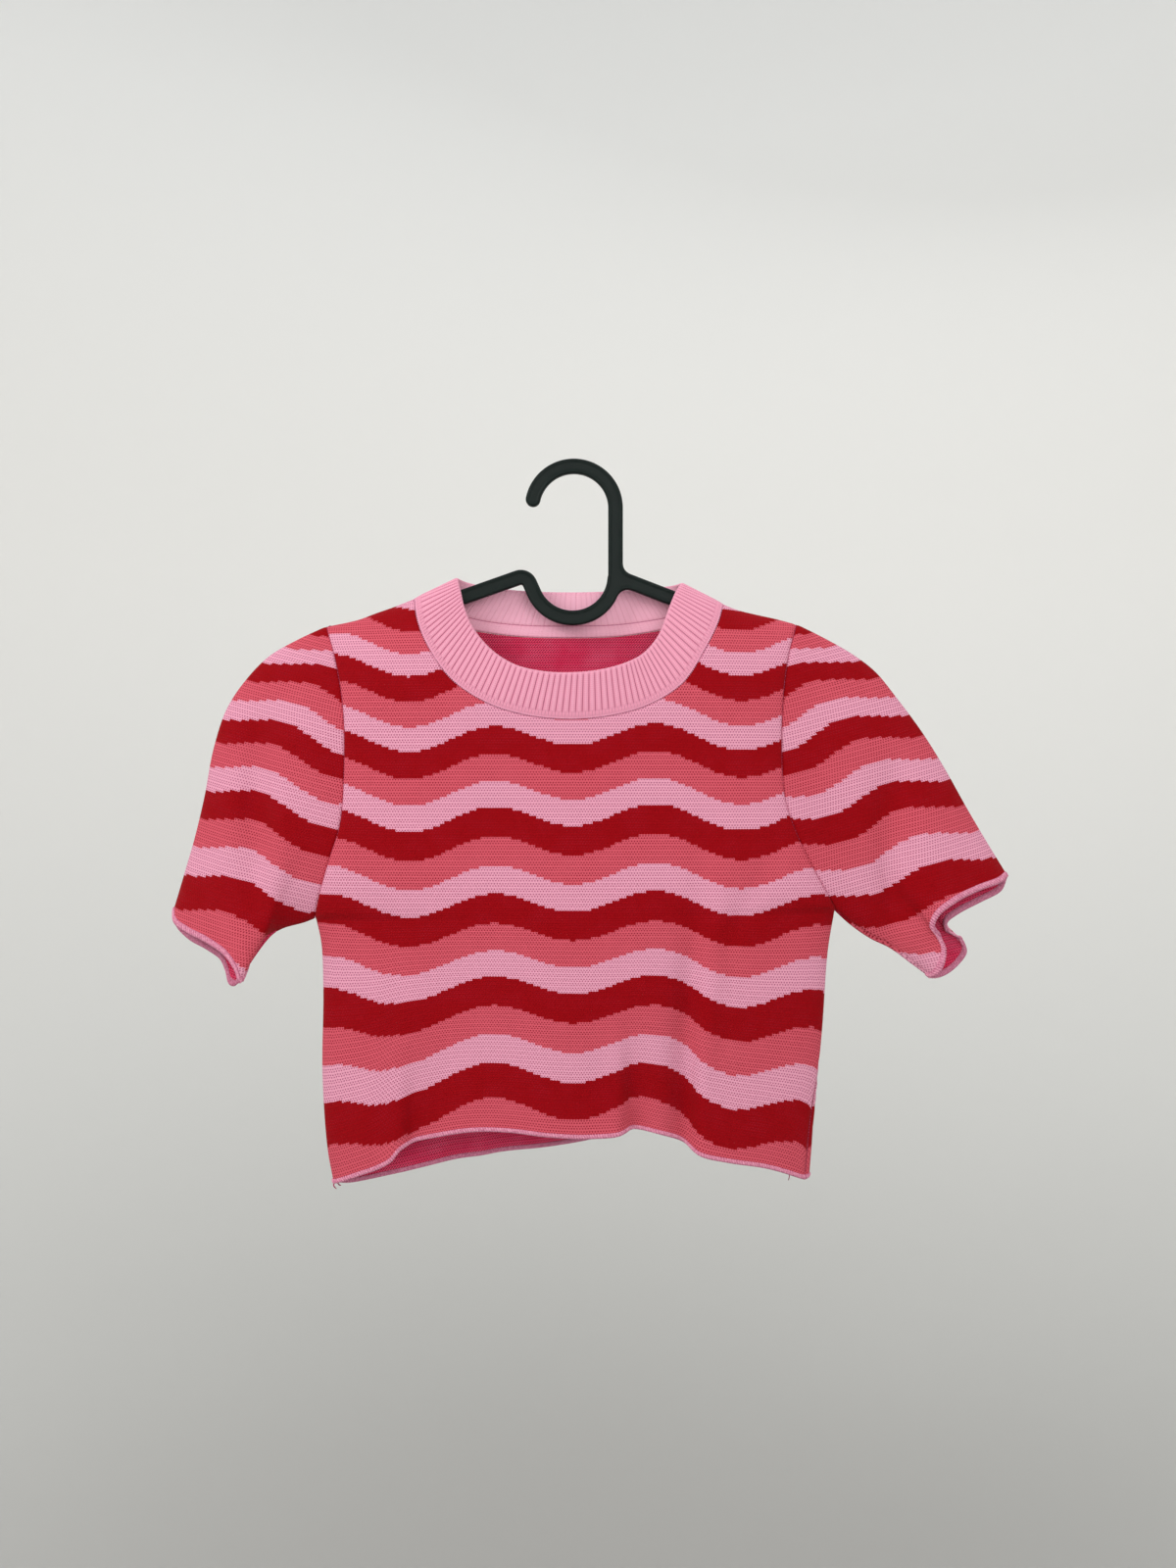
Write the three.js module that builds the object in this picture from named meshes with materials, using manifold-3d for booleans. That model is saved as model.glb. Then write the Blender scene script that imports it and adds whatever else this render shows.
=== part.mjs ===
// Knitted crop top, hanging on a one-piece plastic hanger.
// Millimetres. +X is the viewer's right, +Y points away from the viewer, +Z is up.
// The origin is the inner crown of the hanger's hook, where a rod or a wall hook carries it.
import * as THREE from 'three';
import Module from 'manifold-3d';
import { mergeVertices } from 'three/addons/utils/BufferGeometryUtils.js';

// Cloth and seams
const WALL = 1.8;
const SEAM_GAP = 0.3;

// Depth of the hanging body: how far the front and the back stand off the plane of the side seams
const FRONT = { sign: -1, depth: 25, armholeDepth: 14, shoulderRound: 85 };
const BACK = { sign: 1, depth: 14, armholeDepth: 11, shoulderRound: 42 };
const ARMHOLE_ROUND = 60;
const LENS_POWER = 2;
const EDGE_POWER = 4;

// Slope of the cloth where it crosses the armhole seam: at the shoulder, added by the underarm evenly,
// and added close to the underarm
const SEAM_SLOPE = { shoulder: -0.45, even: 0.3, underarm: 0.95, power: 6 };

// Grid of the panels and the sleeves
const SHOULDER_COLUMNS = 6;
const SHOULDER_EASE = 2.2;
const NECK_COLUMNS = 16;
const SHOULDER_SPREAD = 0.6;
const SPREAD_POWER = 0.5;
const ARMHOLE_ROWS = 14;
const ARMHOLE_EASE = 0.8;
const SIDE_ROWS = 9;
const SLEEVE_ROWS = 9;
const SPLINE_STEPS = 24;

// A sleeve's fold grows over this height and is held at this share of the sleeve's length
const SLEEVE_FOLD_RAMP = 60;
const SLEEVE_FOLD_HOLD = 0.9;

// Outlines of the body, seen from the front, from the top down or from left to right
const SHOULDER_LEFT = [
  { x: -180.7, z: -112.7 }, { x: -168, z: -110.4 }, { x: -156.2, z: -107.6 },
  { x: -144.7, z: -103.3 }, { x: -130.3, z: -98.3 }, { x: -115.9, z: -92.5 },
];
const SHOULDER_RIGHT = [
  { x: 109.4, z: -96.5 }, { x: 120.2, z: -100.8 }, { x: 131.8, z: -103.7 },
  { x: 148, z: -107.2 }, { x: 163.4, z: -111.2 },
];
const NECK_FRONT = [
  { x: -115.9, z: -92.5 }, { x: -112.9, z: -108.5 }, { x: -105.9, z: -126.1 }, { x: -87.7, z: -152.3 },
  { x: -61.6, z: -169.9 }, { x: -34.3, z: -178.5 }, { x: -3.2, z: -181.6 }, { x: 28.3, z: -178.8 },
  { x: 55.1, z: -170.9 }, { x: 78.6, z: -155.8 }, { x: 95.5, z: -130.2 }, { x: 105.2, z: -110.6 },
  { x: 109.4, z: -96.5 },
];
const NECK_BACK = [
  { x: -115.9, z: -92.5 }, { x: -108, z: -101.2 }, { x: -94.7, z: -107.8 }, { x: -73.1, z: -114 },
  { x: -40.4, z: -118.3 }, { x: -3.8, z: -119.3 }, { x: 32.7, z: -118.3 }, { x: 69.1, z: -112.9 },
  { x: 89.4, z: -107.7 }, { x: 102, z: -102.6 }, { x: 109.4, z: -96.5 },
];
const ARMHOLE_LEFT = [
  { x: -180.7, z: -112.7 }, { x: -172.3, z: -138.8 }, { x: -166.2, z: -175 }, { x: -165.4, z: -215 },
  { x: -168.4, z: -257 }, { x: -175.5, z: -280 }, { x: -182.3, z: -302.2 }, { x: -188.6, z: -325.1 },
];
const ARMHOLE_RIGHT = [
  { x: 163.4, z: -111.2 }, { x: 156.2, z: -135.3 }, { x: 151.5, z: -170 }, { x: 150.9, z: -211.6 },
  { x: 153.2, z: -238.5 }, { x: 160.8, z: -262 }, { x: 174.3, z: -290 }, { x: 191.5, z: -319.3 },
];
const SIDE_LEFT = [
  { x: -188.6, z: -325.1 }, { x: -184.4, z: -345 }, { x: -183, z: -380 }, { x: -183.6, z: -440 },
  { x: -180, z: -494.3 }, { x: -175.4, z: -520 },
];
const SIDE_RIGHT = [
  { x: 191.5, z: -319.3 }, { x: 186.4, z: -350 }, { x: 182.2, z: -407.9 }, { x: 176.4, z: -468.4 },
  { x: 172.4, z: -516 },
];
const HEM_FRONT = [
  { x: -175.4, z: -520 }, { x: -155.8, z: -511.5 }, { x: -140, z: -505 }, { x: -131, z: -499.5 },
  { x: -124, z: -491 }, { x: -102.9, z: -483.3 }, { x: -74.2, z: -476.5 }, { x: -45.5, z: -475.8 },
  { x: -17.2, z: -478.6 }, { x: 10.8, z: -480.4 }, { x: 30, z: -479.5 }, { x: 42, z: -477 },
  { x: 61.9, z: -478.8 }, { x: 77.2, z: -485 }, { x: 90.8, z: -494 }, { x: 112, z: -499.5 },
  { x: 137.3, z: -504.3 }, { x: 158.3, z: -510.5 }, { x: 172.4, z: -516 },
];
const HEM_BACK = [
  { x: -175.4, z: -520 }, { x: -166, z: -521.5 }, { x: -135.5, z: -516.9 }, { x: -106.1, z: -510.7 },
  { x: -76.7, z: -503.5 }, { x: -47.6, z: -500.4 }, { x: -18.5, z: -498.3 }, { x: 10.8, z: -493.5 },
  { x: 40, z: -484 }, { x: 76.5, z: -486.5 }, { x: 113.2, z: -499 }, { x: 149.5, z: -509.5 },
  { x: 172.4, z: -516 },
];

// Hanging folds of the body: where each one runs, where it starts, and how deep it is at the hem
const FRONT_FOLDS = [
  { x: -113, lean: 0.02, top: -400, width: 15, depth: 10 },
  { x: 54, lean: -0.03, top: -385, width: 13, depth: 13 },
  { x: 84, lean: 0.02, top: -310, width: 9, depth: 4 },
  { x: -20, lean: 0.0, top: -300, width: 30, depth: -3 },
];
const BACK_FOLDS = [
  { x: -70, lean: 0.02, top: -380, width: 17, depth: 6 },
  { x: 66, lean: -0.02, top: -360, width: 15, depth: 5 },
  { x: 0, lean: 0.0, top: -300, width: 28, depth: -3 },
];

// The sleeves: fold line on top, seam line below, and the cuff's edge, front and back, from top to bottom
const LEFT_SLEEVE = {
  side: -1,
  top: [
    { x: -180.7, y: 0, z: -112.7 }, { x: -202.3, y: 0, z: -122.8 }, { x: -223.5, y: 1, z: -134.9 },
    { x: -241.8, y: 2, z: -153.5 }, { x: -254.8, y: 2, z: -173.8 }, { x: -264.2, y: 2, z: -202.6 },
    { x: -270.6, y: 2, z: -236.5 }, { x: -277.9, y: 2, z: -267.6 }, { x: -285.8, y: 2, z: -295 },
    { x: -294.1, y: 3, z: -321.8 },
  ],
  under: [
    { x: -188.6, y: 0, z: -325.1 }, { x: -198, y: 1, z: -328.8 }, { x: -209.1, y: 2, z: -331.8 },
    { x: -221.6, y: 3, z: -335.4 }, { x: -233, y: 3, z: -339 },
  ],
  cuffFront: [
    { x: -294.1, y: 3, z: -321.8 }, { x: -291.5, y: -3, z: -329 }, { x: -279.9, y: -9, z: -335.5 },
    { x: -264.4, y: -15, z: -341.8 }, { x: -250.1, y: -20, z: -350.3 }, { x: -241.9, y: -24, z: -360.2 },
    { x: -238.6, y: -24, z: -369.4 }, { x: -237, y: -19, z: -364 }, { x: -236.2, y: -12, z: -354 },
    { x: -235.4, y: -4, z: -345 }, { x: -233, y: 3, z: -339 },
  ],
  cuffBack: [
    { x: -294.1, y: 3, z: -321.8 }, { x: -294.4, y: 9, z: -332.7 }, { x: -285.4, y: 10, z: -342.5 },
    { x: -271, y: 6, z: -349.4 }, { x: -259, y: 1, z: -356.4 }, { x: -253.5, y: -4, z: -364.4 },
    { x: -249.8, y: -8, z: -372.8 }, { x: -245.2, y: -9, z: -373.6 }, { x: -241, y: -5, z: -363.4 },
    { x: -238, y: 2, z: -350 }, { x: -233, y: 3, z: -339 },
  ],
  fold: { x: -231, top: -150, width: 13, depth: 7 },
};
const RIGHT_SLEEVE = {
  side: 1,
  top: [
    { x: 163.4, y: 0, z: -111.2 }, { x: 183.6, y: 0, z: -121.3 }, { x: 203.8, y: 0, z: -132.8 },
    { x: 221, y: 0, z: -145.8 }, { x: 236.9, y: 0, z: -165.2 }, { x: 255.6, y: 0, z: -190.4 },
    { x: 272.2, y: 0, z: -217.1 }, { x: 288.7, y: 0, z: -246.6 }, { x: 303.1, y: 0, z: -271.1 },
    { x: 318.2, y: 0, z: -295.6 },
  ],
  under: [
    { x: 191.5, y: 0, z: -319.3 }, { x: 204.7, y: 3, z: -331 }, { x: 219.6, y: 4, z: -341.2 },
    { x: 233.8, y: 4, z: -348.1 }, { x: 248.9, y: 2, z: -359.2 }, { x: 261.8, y: 0, z: -368.8 },
  ],
  cuffFront: [
    { x: 318.2, y: 0, z: -295.6 }, { x: 311.7, y: -6, z: -299 }, { x: 295.5, y: -11, z: -304 },
    { x: 276.7, y: -15, z: -312.3 }, { x: 263.7, y: -15, z: -322.8 }, { x: 261.4, y: -12, z: -331.8 },
    { x: 267.6, y: -8, z: -339.7 }, { x: 271, y: -6, z: -348.3 }, { x: 269.7, y: -7, z: -358.4 },
    { x: 266, y: -5, z: -366 }, { x: 261.8, y: 0, z: -368.8 },
  ],
  cuffBack: [
    { x: 318.2, y: 0, z: -295.6 }, { x: 315.6, y: 5, z: -305.9 }, { x: 300.5, y: 7, z: -314.8 },
    { x: 285.1, y: 7, z: -322.9 }, { x: 277, y: 9, z: -330.2 }, { x: 279.2, y: 12, z: -337.8 },
    { x: 289.8, y: 13, z: -345 }, { x: 293.4, y: 16, z: -353.2 }, { x: 286.5, y: 16, z: -363.2 },
    { x: 273.4, y: 9, z: -369.8 }, { x: 261.8, y: 0, z: -368.8 },
  ],
  fold: { x: 234, top: -180, width: 13, depth: 6 },
};

// Neckband: a ribbed strip on the neck seam; its rim is given from left to right, front and back
const RIM_FRONT = [
  { x: -85, y: 0, z: -77.4 }, { x: -82.3, y: -6, z: -87.6 }, { x: -78.9, y: -11, z: -100.5 },
  { x: -71.3, y: -16, z: -116.8 }, { x: -58.1, y: -20, z: -132.2 }, { x: -41.1, y: -23, z: -142.9 },
  { x: -20.7, y: -25, z: -147.8 }, { x: -0.4, y: -25.5, z: -148.6 }, { x: 19.9, y: -25, z: -146.5 },
  { x: 38.8, y: -23, z: -141 }, { x: 50.9, y: -20, z: -134.1 }, { x: 61.7, y: -16, z: -121 },
  { x: 69.2, y: -11, z: -101.9 }, { x: 74.5, y: -6, z: -89 }, { x: 79.2, y: 0, z: -81 },
];
const RIM_BACK = [
  { x: -85, y: 0, z: -77.4 }, { x: -79.5, y: 6, z: -79 }, { x: -61.9, y: 10, z: -82.2 },
  { x: -33, y: 12, z: -84.8 }, { x: -1.6, y: 12.5, z: -85.5 }, { x: 29, y: 12, z: -84.8 },
  { x: 55.9, y: 10, z: -83 }, { x: 73.4, y: 6, z: -81.6 }, { x: 79.2, y: 0, z: -81 },
];
const BAND_WALL = 2.4;
const RIBS_FRONT = 72;
const RIBS_BACK = 48;
const RIB_RAISE = 0.9;
const BAND_LIFT = 0.25;
const LINKING_STRIP = 5;
const RIB_SLOPE = 1.5;

// Hanger: one flat plastic stroke with a round hook, a dip under the hook and two sloping arms
const HANGER_WIDTH = 10.8;
const HANGER_THICKNESS = 5.6;
const HANGER_BEVEL = 1.3;
const HOOK_RADIUS = 30.6;
const SHANK_X = 31;
const HOOK_START = 168;
const DIP_CENTRE = { x: -0.5, z: -75 };
const DIP_RADIUS = 31;
const DIP_FLARE = 24;
const FLARE_LENGTH = 8;
const BUMP_RADIUS = 7;
const DIP_START = -4;
const HOOK_STEPS = 20;
const DIP_STEPS = 14;
const ROUND_STEPS = 6;
const BEVEL_STEPS = 2;
const LEFT_ARM = { angle: 19.4, tipX: -193 };
const RIGHT_ARM = { angle: 21.1, tipX: 189, startZ: -75.4 };

// Colours and finishes
const PINK = 0xe8a0bd;
const CORAL = 0xdc5a64;
const RED = 0xb5001e;
const BAND_PINK = 0xee9dbb;
const HANGER_GREEN = 0x22302e;
const CLOTH_ROUGHNESS = 0.9;
const PLASTIC_ROUGHNESS = 0.45;

// Curves and small helpers

function vector(row) {
  return new THREE.Vector3(row.x, row.y ?? 0, row.z);
}

function spline(rows) {
  const curve = new THREE.CatmullRomCurve3(rows.map(vector), false, 'centripetal');
  return curve.getPoints((rows.length - 1) * SPLINE_STEPS);
}

// The point of a smooth line where one of its coordinates, which always grows or falls, has a value.
function pointWhere(line, axis, value) {
  const rising = line[line.length - 1][axis] > line[0][axis];
  let i = 1;
  while (i < line.length - 1 && (rising ? line[i][axis] < value : line[i][axis] > value)) {
    i += 1;
  }
  const span = line[i][axis] - line[i - 1][axis];
  const t = THREE.MathUtils.clamp((value - line[i - 1][axis]) / span, 0, 1);
  return line[i - 1].clone().lerp(line[i], t);
}

function pointAlong(line, fraction) {
  const place = fraction * (line.length - 1);
  const i = Math.min(Math.floor(place), line.length - 2);
  return line[i].clone().lerp(line[i + 1], place - i);
}

function roundIn(t) {
  const left = 1 - THREE.MathUtils.clamp(t, 0, 1);
  return Math.sqrt(1 - left * left);
}

function bell(distance, width) {
  return Math.exp(-((distance / width) ** 2));
}

const lines = {
  shoulderLeft: spline(SHOULDER_LEFT),
  shoulderRight: spline(SHOULDER_RIGHT),
  armholeLeft: spline(ARMHOLE_LEFT),
  armholeRight: spline(ARMHOLE_RIGHT),
  sideLeft: spline(SIDE_LEFT),
  sideRight: spline(SIDE_RIGHT),
};

// The shoulder line runs on straight across the neck.
function shoulderHeight(x) {
  const neckLeft = SHOULDER_LEFT[SHOULDER_LEFT.length - 1];
  const neckRight = SHOULDER_RIGHT[0];
  if (x < neckLeft.x) {
    return pointWhere(lines.shoulderLeft, 'x', x).z;
  }
  if (x > neckRight.x) {
    return pointWhere(lines.shoulderRight, 'x', x).z;
  }
  return THREE.MathUtils.mapLinear(x, neckLeft.x, neckRight.x, neckLeft.z, neckRight.z);
}

// How far the cloth stands off the plane of the side seams.
// across runs from -1 at the left edge to 1 at the right edge.
function standOff(panel, across, x, z) {
  const lens = (1 - Math.min(Math.abs(across), 1) ** LENS_POWER) ** (1 / LENS_POWER);
  const underarm = THREE.MathUtils.mapLinear(across, -1, 1, lines.sideLeft[0].z, lines.sideRight[0].z);
  const edge = panel.armholeDepth * roundIn((z - underarm) / ARMHOLE_ROUND);
  const belowShoulder = roundIn((shoulderHeight(x) - z) / panel.shoulderRound);
  return belowShoulder * (panel.depth * lens + edge * (1 - lens));
}

function foldDepth(folds, x, z) {
  let depth = 0;
  for (const fold of folds) {
    const hem = HEM_FRONT[0].z;
    const ramp = THREE.MathUtils.smoothstep(fold.top - z, 0, fold.top - hem);
    const centre = fold.x + fold.lean * (z - hem);
    depth += ramp * fold.depth * bell(x - centre, fold.width);
  }
  return depth;
}

// Panels

// Each column starts at x on the shoulder and neck line and ends at a fraction of the hem's width.
// Below the neck points the columns spread outwards, so that they stay apart from the neck seam.
function panelColumns() {
  const tips = [SHOULDER_LEFT[0].x, SHOULDER_RIGHT[SHOULDER_RIGHT.length - 1].x];
  const necks = [SHOULDER_LEFT[SHOULDER_LEFT.length - 1].x, SHOULDER_RIGHT[0].x];
  const shares = necks.map((x, k) => SHOULDER_SPREAD * (x - tips[k]) / (tips[1] - tips[0]));
  const shoulder = (k, i) => {
    const eased = (i / SHOULDER_COLUMNS) ** SHOULDER_EASE;
    return { x: tips[k] + (necks[k] - tips[k]) * eased, hem: k + shares[k] * eased };
  };
  const result = [];
  for (let i = 0; i < SHOULDER_COLUMNS; i += 1) {
    result.push(shoulder(0, i));
  }
  for (let i = 0; i <= NECK_COLUMNS; i += 1) {
    const even = i / NECK_COLUMNS;
    const turned = (1 - Math.cos(Math.PI * even)) / 2;
    const hem = THREE.MathUtils.lerp(shares[0], 1 + shares[1], (even + turned) / 2);
    result.push({ x: THREE.MathUtils.lerp(necks[0], necks[1], turned), hem });
  }
  for (let i = SHOULDER_COLUMNS - 1; i >= 0; i -= 1) {
    result.push(shoulder(1, i));
  }
  return result;
}

function edgeRows(armhole, side) {
  const rows = [];
  for (let i = 0; i <= ARMHOLE_ROWS; i += 1) {
    const even = i / ARMHOLE_ROWS;
    const eased = (1 - Math.cos(Math.PI * even)) / 2;
    const fraction = even + (eased - even) * ARMHOLE_EASE;
    const z = THREE.MathUtils.lerp(armhole[0].z, armhole[armhole.length - 1].z, fraction);
    rows.push(pointWhere(armhole, 'z', z));
  }
  for (let i = 1; i <= SIDE_ROWS; i += 1) {
    const z = THREE.MathUtils.lerp(side[0].z, side[side.length - 1].z, i / SIDE_ROWS);
    rows.push(pointWhere(side, 'z', z));
  }
  return rows;
}

const columns = panelColumns();
const leftEdge = edgeRows(lines.armholeLeft, lines.sideLeft);
const rightEdge = edgeRows(lines.armholeRight, lines.sideRight);

// A panel's middle surface: a patch between its shoulder and neck line, its edges and its hem.
function panelPoints(panel, neckRows, hemRows, folds) {
  const neck = spline(neckRows);
  const hem = spline(hemRows);
  const top = columns.map(({ x }, i) => {
    const onNeck = i > SHOULDER_COLUMNS && i < SHOULDER_COLUMNS + NECK_COLUMNS;
    return new THREE.Vector3(x, 0, onNeck ? pointWhere(neck, 'x', x).z : shoulderHeight(x));
  });
  const bottom = columns.map((column) => {
    const x = THREE.MathUtils.lerp(hem[0].x, hem[hem.length - 1].x, column.hem);
    return pointWhere(hem, 'x', x);
  });
  const last = leftEdge.length - 1;
  const drop = (edge, j) => (edge[j].z - edge[0].z) / (edge[last].z - edge[0].z);
  return leftEdge.map((left, j) => {
    const right = rightEdge[j];
    const down = (drop(leftEdge, j) + drop(rightEdge, j)) / 2;
    return columns.map((column, i) => {
      const patch = (axis, weight) => {
        const { lerp } = THREE.MathUtils;
        const edgeError = (edge) => edge[j][axis] - lerp(edge[0][axis], edge[last][axis], weight);
        const between = lerp(top[i][axis], bottom[i][axis], weight);
        return between + lerp(edgeError(leftEdge), edgeError(rightEdge), column.hem);
      };
      const x = patch('x', down ** SPREAD_POWER);
      const z = patch('z', down);
      const across = 2 * (x - left.x) / (right.x - left.x) - 1;
      const fold = foldDepth(folds, x, z) * (1 - across ** EDGE_POWER);
      return new THREE.Vector3(x, panel.sign * Math.max(standOff(panel, across, x, z) - fold, 0), z);
    });
  });
}

const frontPoints = panelPoints(FRONT, NECK_FRONT, HEM_FRONT, FRONT_FOLDS);
const backPoints = panelPoints(BACK, NECK_BACK, HEM_BACK, BACK_FOLDS);

// Seams: at each point of a seam, the wall's thickness runs along "through", and the line from
// one piece to the other runs along "over". Both pieces use the same two directions.

function seamLoop(points, overAt, outward) {
  return points.map((point, i) => {
    const before = points[(i + points.length - 1) % points.length];
    const after = points[(i + 1) % points.length];
    const along = after.clone().sub(before).normalize();
    const over = overAt(point, i);
    over.addScaledVector(along, -over.dot(along)).normalize();
    const through = along.cross(over).multiplyScalar(outward).normalize();
    return { point, over, through };
  });
}

// The armhole: from the shoulder down the front to the underarm and up the back.
function armholeLoop(side) {
  const column = side < 0 ? 0 : columns.length - 1;
  const points = [];
  for (let j = 0; j < ARMHOLE_ROWS; j += 1) {
    points.push(frontPoints[j][column]);
  }
  for (let j = ARMHOLE_ROWS; j > 0; j -= 1) {
    points.push(backPoints[j][column]);
  }
  const shoulder = points[0].z;
  const underarm = points[ARMHOLE_ROWS].z;
  const overAt = (point) => {
    const down = (shoulder - point.z) / (shoulder - underarm);
    const low = SEAM_SLOPE.underarm * down ** SEAM_SLOPE.power;
    return new THREE.Vector3(side, 0, SEAM_SLOPE.shoulder + SEAM_SLOPE.even * down + low);
  };
  return seamLoop(points, overAt, side);
}

// The neck: from the left shoulder along the front to the right one and back behind.
function neckLoop() {
  const first = SHOULDER_COLUMNS;
  const last = SHOULDER_COLUMNS + NECK_COLUMNS;
  const points = [];
  const rims = [];
  const rimFront = spline(RIM_FRONT);
  const rimBack = spline(RIM_BACK);
  for (let i = first; i < last; i += 1) {
    points.push(frontPoints[0][i]);
    rims.push(pointAlong(rimFront, (i - first) / NECK_COLUMNS));
  }
  for (let i = last; i > first; i -= 1) {
    points.push(backPoints[0][i]);
    rims.push(pointAlong(rimBack, (i - first) / NECK_COLUMNS));
  }
  return seamLoop(points, (point, i) => rims[i].clone().sub(point), 1);
}

const armholes = { left: armholeLoop(-1), right: armholeLoop(1) };
const neckSeam = neckLoop();

// Walls

function normalAt(points, j, i, ring) {
  const rows = points.length;
  const count = points[0].length;
  const wrap = (k) => (ring ? (k + count) % count : THREE.MathUtils.clamp(k, 0, count - 1));
  const across = points[j][wrap(i + 1)].clone().sub(points[j][wrap(i - 1)]);
  const down = points[Math.min(j + 1, rows - 1)][i].clone().sub(points[Math.max(j - 1, 0)][i]);
  return across.cross(down).normalize();
}

// Sections of a wall on a middle surface. seams gives the directions on its seams.
function wallSections(points, seams, outward, ring) {
  return points[0].map((unused, i) => {
    const outer = [];
    const inner = [];
    points.forEach((row, j) => {
      const seam = seams(j, i);
      const through = seam ? seam.through : normalAt(points, j, i, ring).multiplyScalar(outward);
      const point = seam ? row[i].clone().addScaledVector(seam.into, SEAM_GAP / 2) : row[i];
      outer.push(point.clone().addScaledVector(through, WALL / 2));
      inner.unshift(point.clone().addScaledVector(through, -WALL / 2));
    });
    return [...outer, ...inner];
  });
}

// Closed solid of a wall, from its sections: each runs down the outer face and back up the inner one.
function wallGeometry(sections, ring) {
  const size = sections[0].length;
  const points = sections.flat();
  const index = [];
  const quad = (a, b, c, d) => {
    if (points[a].distanceTo(points[c]) < points[b].distanceTo(points[d])) {
      index.push(a, b, c, a, c, d);
    } else {
      index.push(a, b, d, b, c, d);
    }
  };
  const spans = ring ? sections.length : sections.length - 1;
  for (let i = 0; i < spans; i += 1) {
    const here = i * size;
    const next = ((i + 1) % sections.length) * size;
    for (let j = 0; j < size; j += 1) {
      const below = (j + 1) % size;
      quad(here + j, next + j, next + below, here + below);
    }
  }
  if (!ring) {
    const end = (sections.length - 1) * size;
    for (let j = 0; j < size / 2 - 1; j += 1) {
      const [outer, outerBelow, innerBelow, inner] = [j, j + 1, size - 2 - j, size - 1 - j];
      quad(outer, outerBelow, innerBelow, inner);
      quad(end + outer, end + inner, end + innerBelow, end + outerBelow);
    }
  }
  return solid(points, index);
}

function solid(points, index) {
  let volume = 0;
  for (let k = 0; k < index.length; k += 3) {
    const [a, b, c] = [points[index[k]], points[index[k + 1]], points[index[k + 2]]];
    volume += a.dot(b.clone().cross(c));
  }
  if (volume < 0) {
    index.reverse();
  }
  const geometry = new THREE.BufferGeometry();
  const places = points.flatMap((point) => point.toArray());
  geometry.setAttribute('position', new THREE.Float32BufferAttribute(places, 3));
  geometry.setIndex(index);
  geometry.computeVertexNormals();
  return geometry;
}

// The front and the back of the body

function panelGeometry(panel, points) {
  const lastColumn = columns.length - 1;
  const neckFirst = SHOULDER_COLUMNS;
  const neckLast = SHOULDER_COLUMNS + NECK_COLUMNS;
  const towardsPanel = new THREE.Vector3(0, panel.sign, 0);
  const loopPlace = (count, place) => (panel.sign < 0 ? place : (count - place) % count);
  const fromLoop = (loop, place) => {
    const { over, through } = loop[loopPlace(loop.length, place)];
    return { through, into: over.clone().negate() };
  };
  const onBodySeam = (along, outward) => ({
    through: along.cross(towardsPanel).multiplyScalar(outward * panel.sign).normalize(),
    into: towardsPanel,
  });
  const seams = (j, i) => {
    let seam = null;
    if (j === 0 && i >= neckFirst && i <= neckLast) {
      seam = fromLoop(neckSeam, i - neckFirst);
    } else if (i === 0 && j <= ARMHOLE_ROWS) {
      seam = fromLoop(armholes.left, j);
    } else if (i === lastColumn && j <= ARMHOLE_ROWS) {
      seam = fromLoop(armholes.right, j);
    } else if (j === 0) {
      seam = onBodySeam(points[0][i + 1].clone().sub(points[0][i - 1]), 1);
    } else if (i === 0 || i === lastColumn) {
      const below = points[Math.min(j + 1, points.length - 1)][i];
      seam = onBodySeam(below.clone().sub(points[j - 1][i]), i === 0 ? 1 : -1);
    }
    const corner = seam && Math.abs(points[j][i].y) < SEAM_GAP;
    return corner ? { through: seam.through, into: seam.into.clone().setY(panel.sign) } : seam;
  };
  return wallGeometry(wallSections(points, seams, panel.sign, false), false);
}

// A sleeve: rings from the armhole to the cuff, each from the fold on top round the front,
// under the arm and up behind.
function sleeveGeometry(sleeve, armhole) {
  const top = spline(sleeve.top);
  const under = spline(sleeve.under);
  const cuffs = [spline(sleeve.cuffFront), spline(sleeve.cuffBack)];
  const count = armhole.length;
  const points = [];
  for (let j = 0; j <= SLEEVE_ROWS; j += 1) {
    const v = j / SLEEVE_ROWS;
    points.push([]);
    for (let i = 0; i < count; i += 1) {
      const back = i > ARMHOLE_ROWS;
      const u = (back ? count - i : i) / ARMHOLE_ROWS;
      const point = armhole[i].point.clone().multiplyScalar(1 - v);
      point.addScaledVector(pointAlong(cuffs[back ? 1 : 0], u), v);
      for (const [line, share] of [[top, 1 - u], [under, u]]) {
        point.addScaledVector(pointAlong(line, v), share);
        point.addScaledVector(line[0], -share * (1 - v));
        point.addScaledVector(line[line.length - 1], -share * v);
      }
      const { fold } = sleeve;
      const fromTop = THREE.MathUtils.smoothstep(fold.top - point.z, 0, SLEEVE_FOLD_RAMP);
      const inFront = back ? 0 : Math.sin(Math.PI * u) * Math.sin(Math.PI * Math.min(v, SLEEVE_FOLD_HOLD));
      point.y += fold.depth * fromTop * inFront * bell(point.x - fold.x, fold.width);
      points[j].push(point);
    }
  }
  const seams = (j, i) => (j === 0 ? { through: armhole[i].through, into: armhole[i].over } : null);
  return wallGeometry(wallSections(points, seams, sleeve.side, true), true);
}

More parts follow.
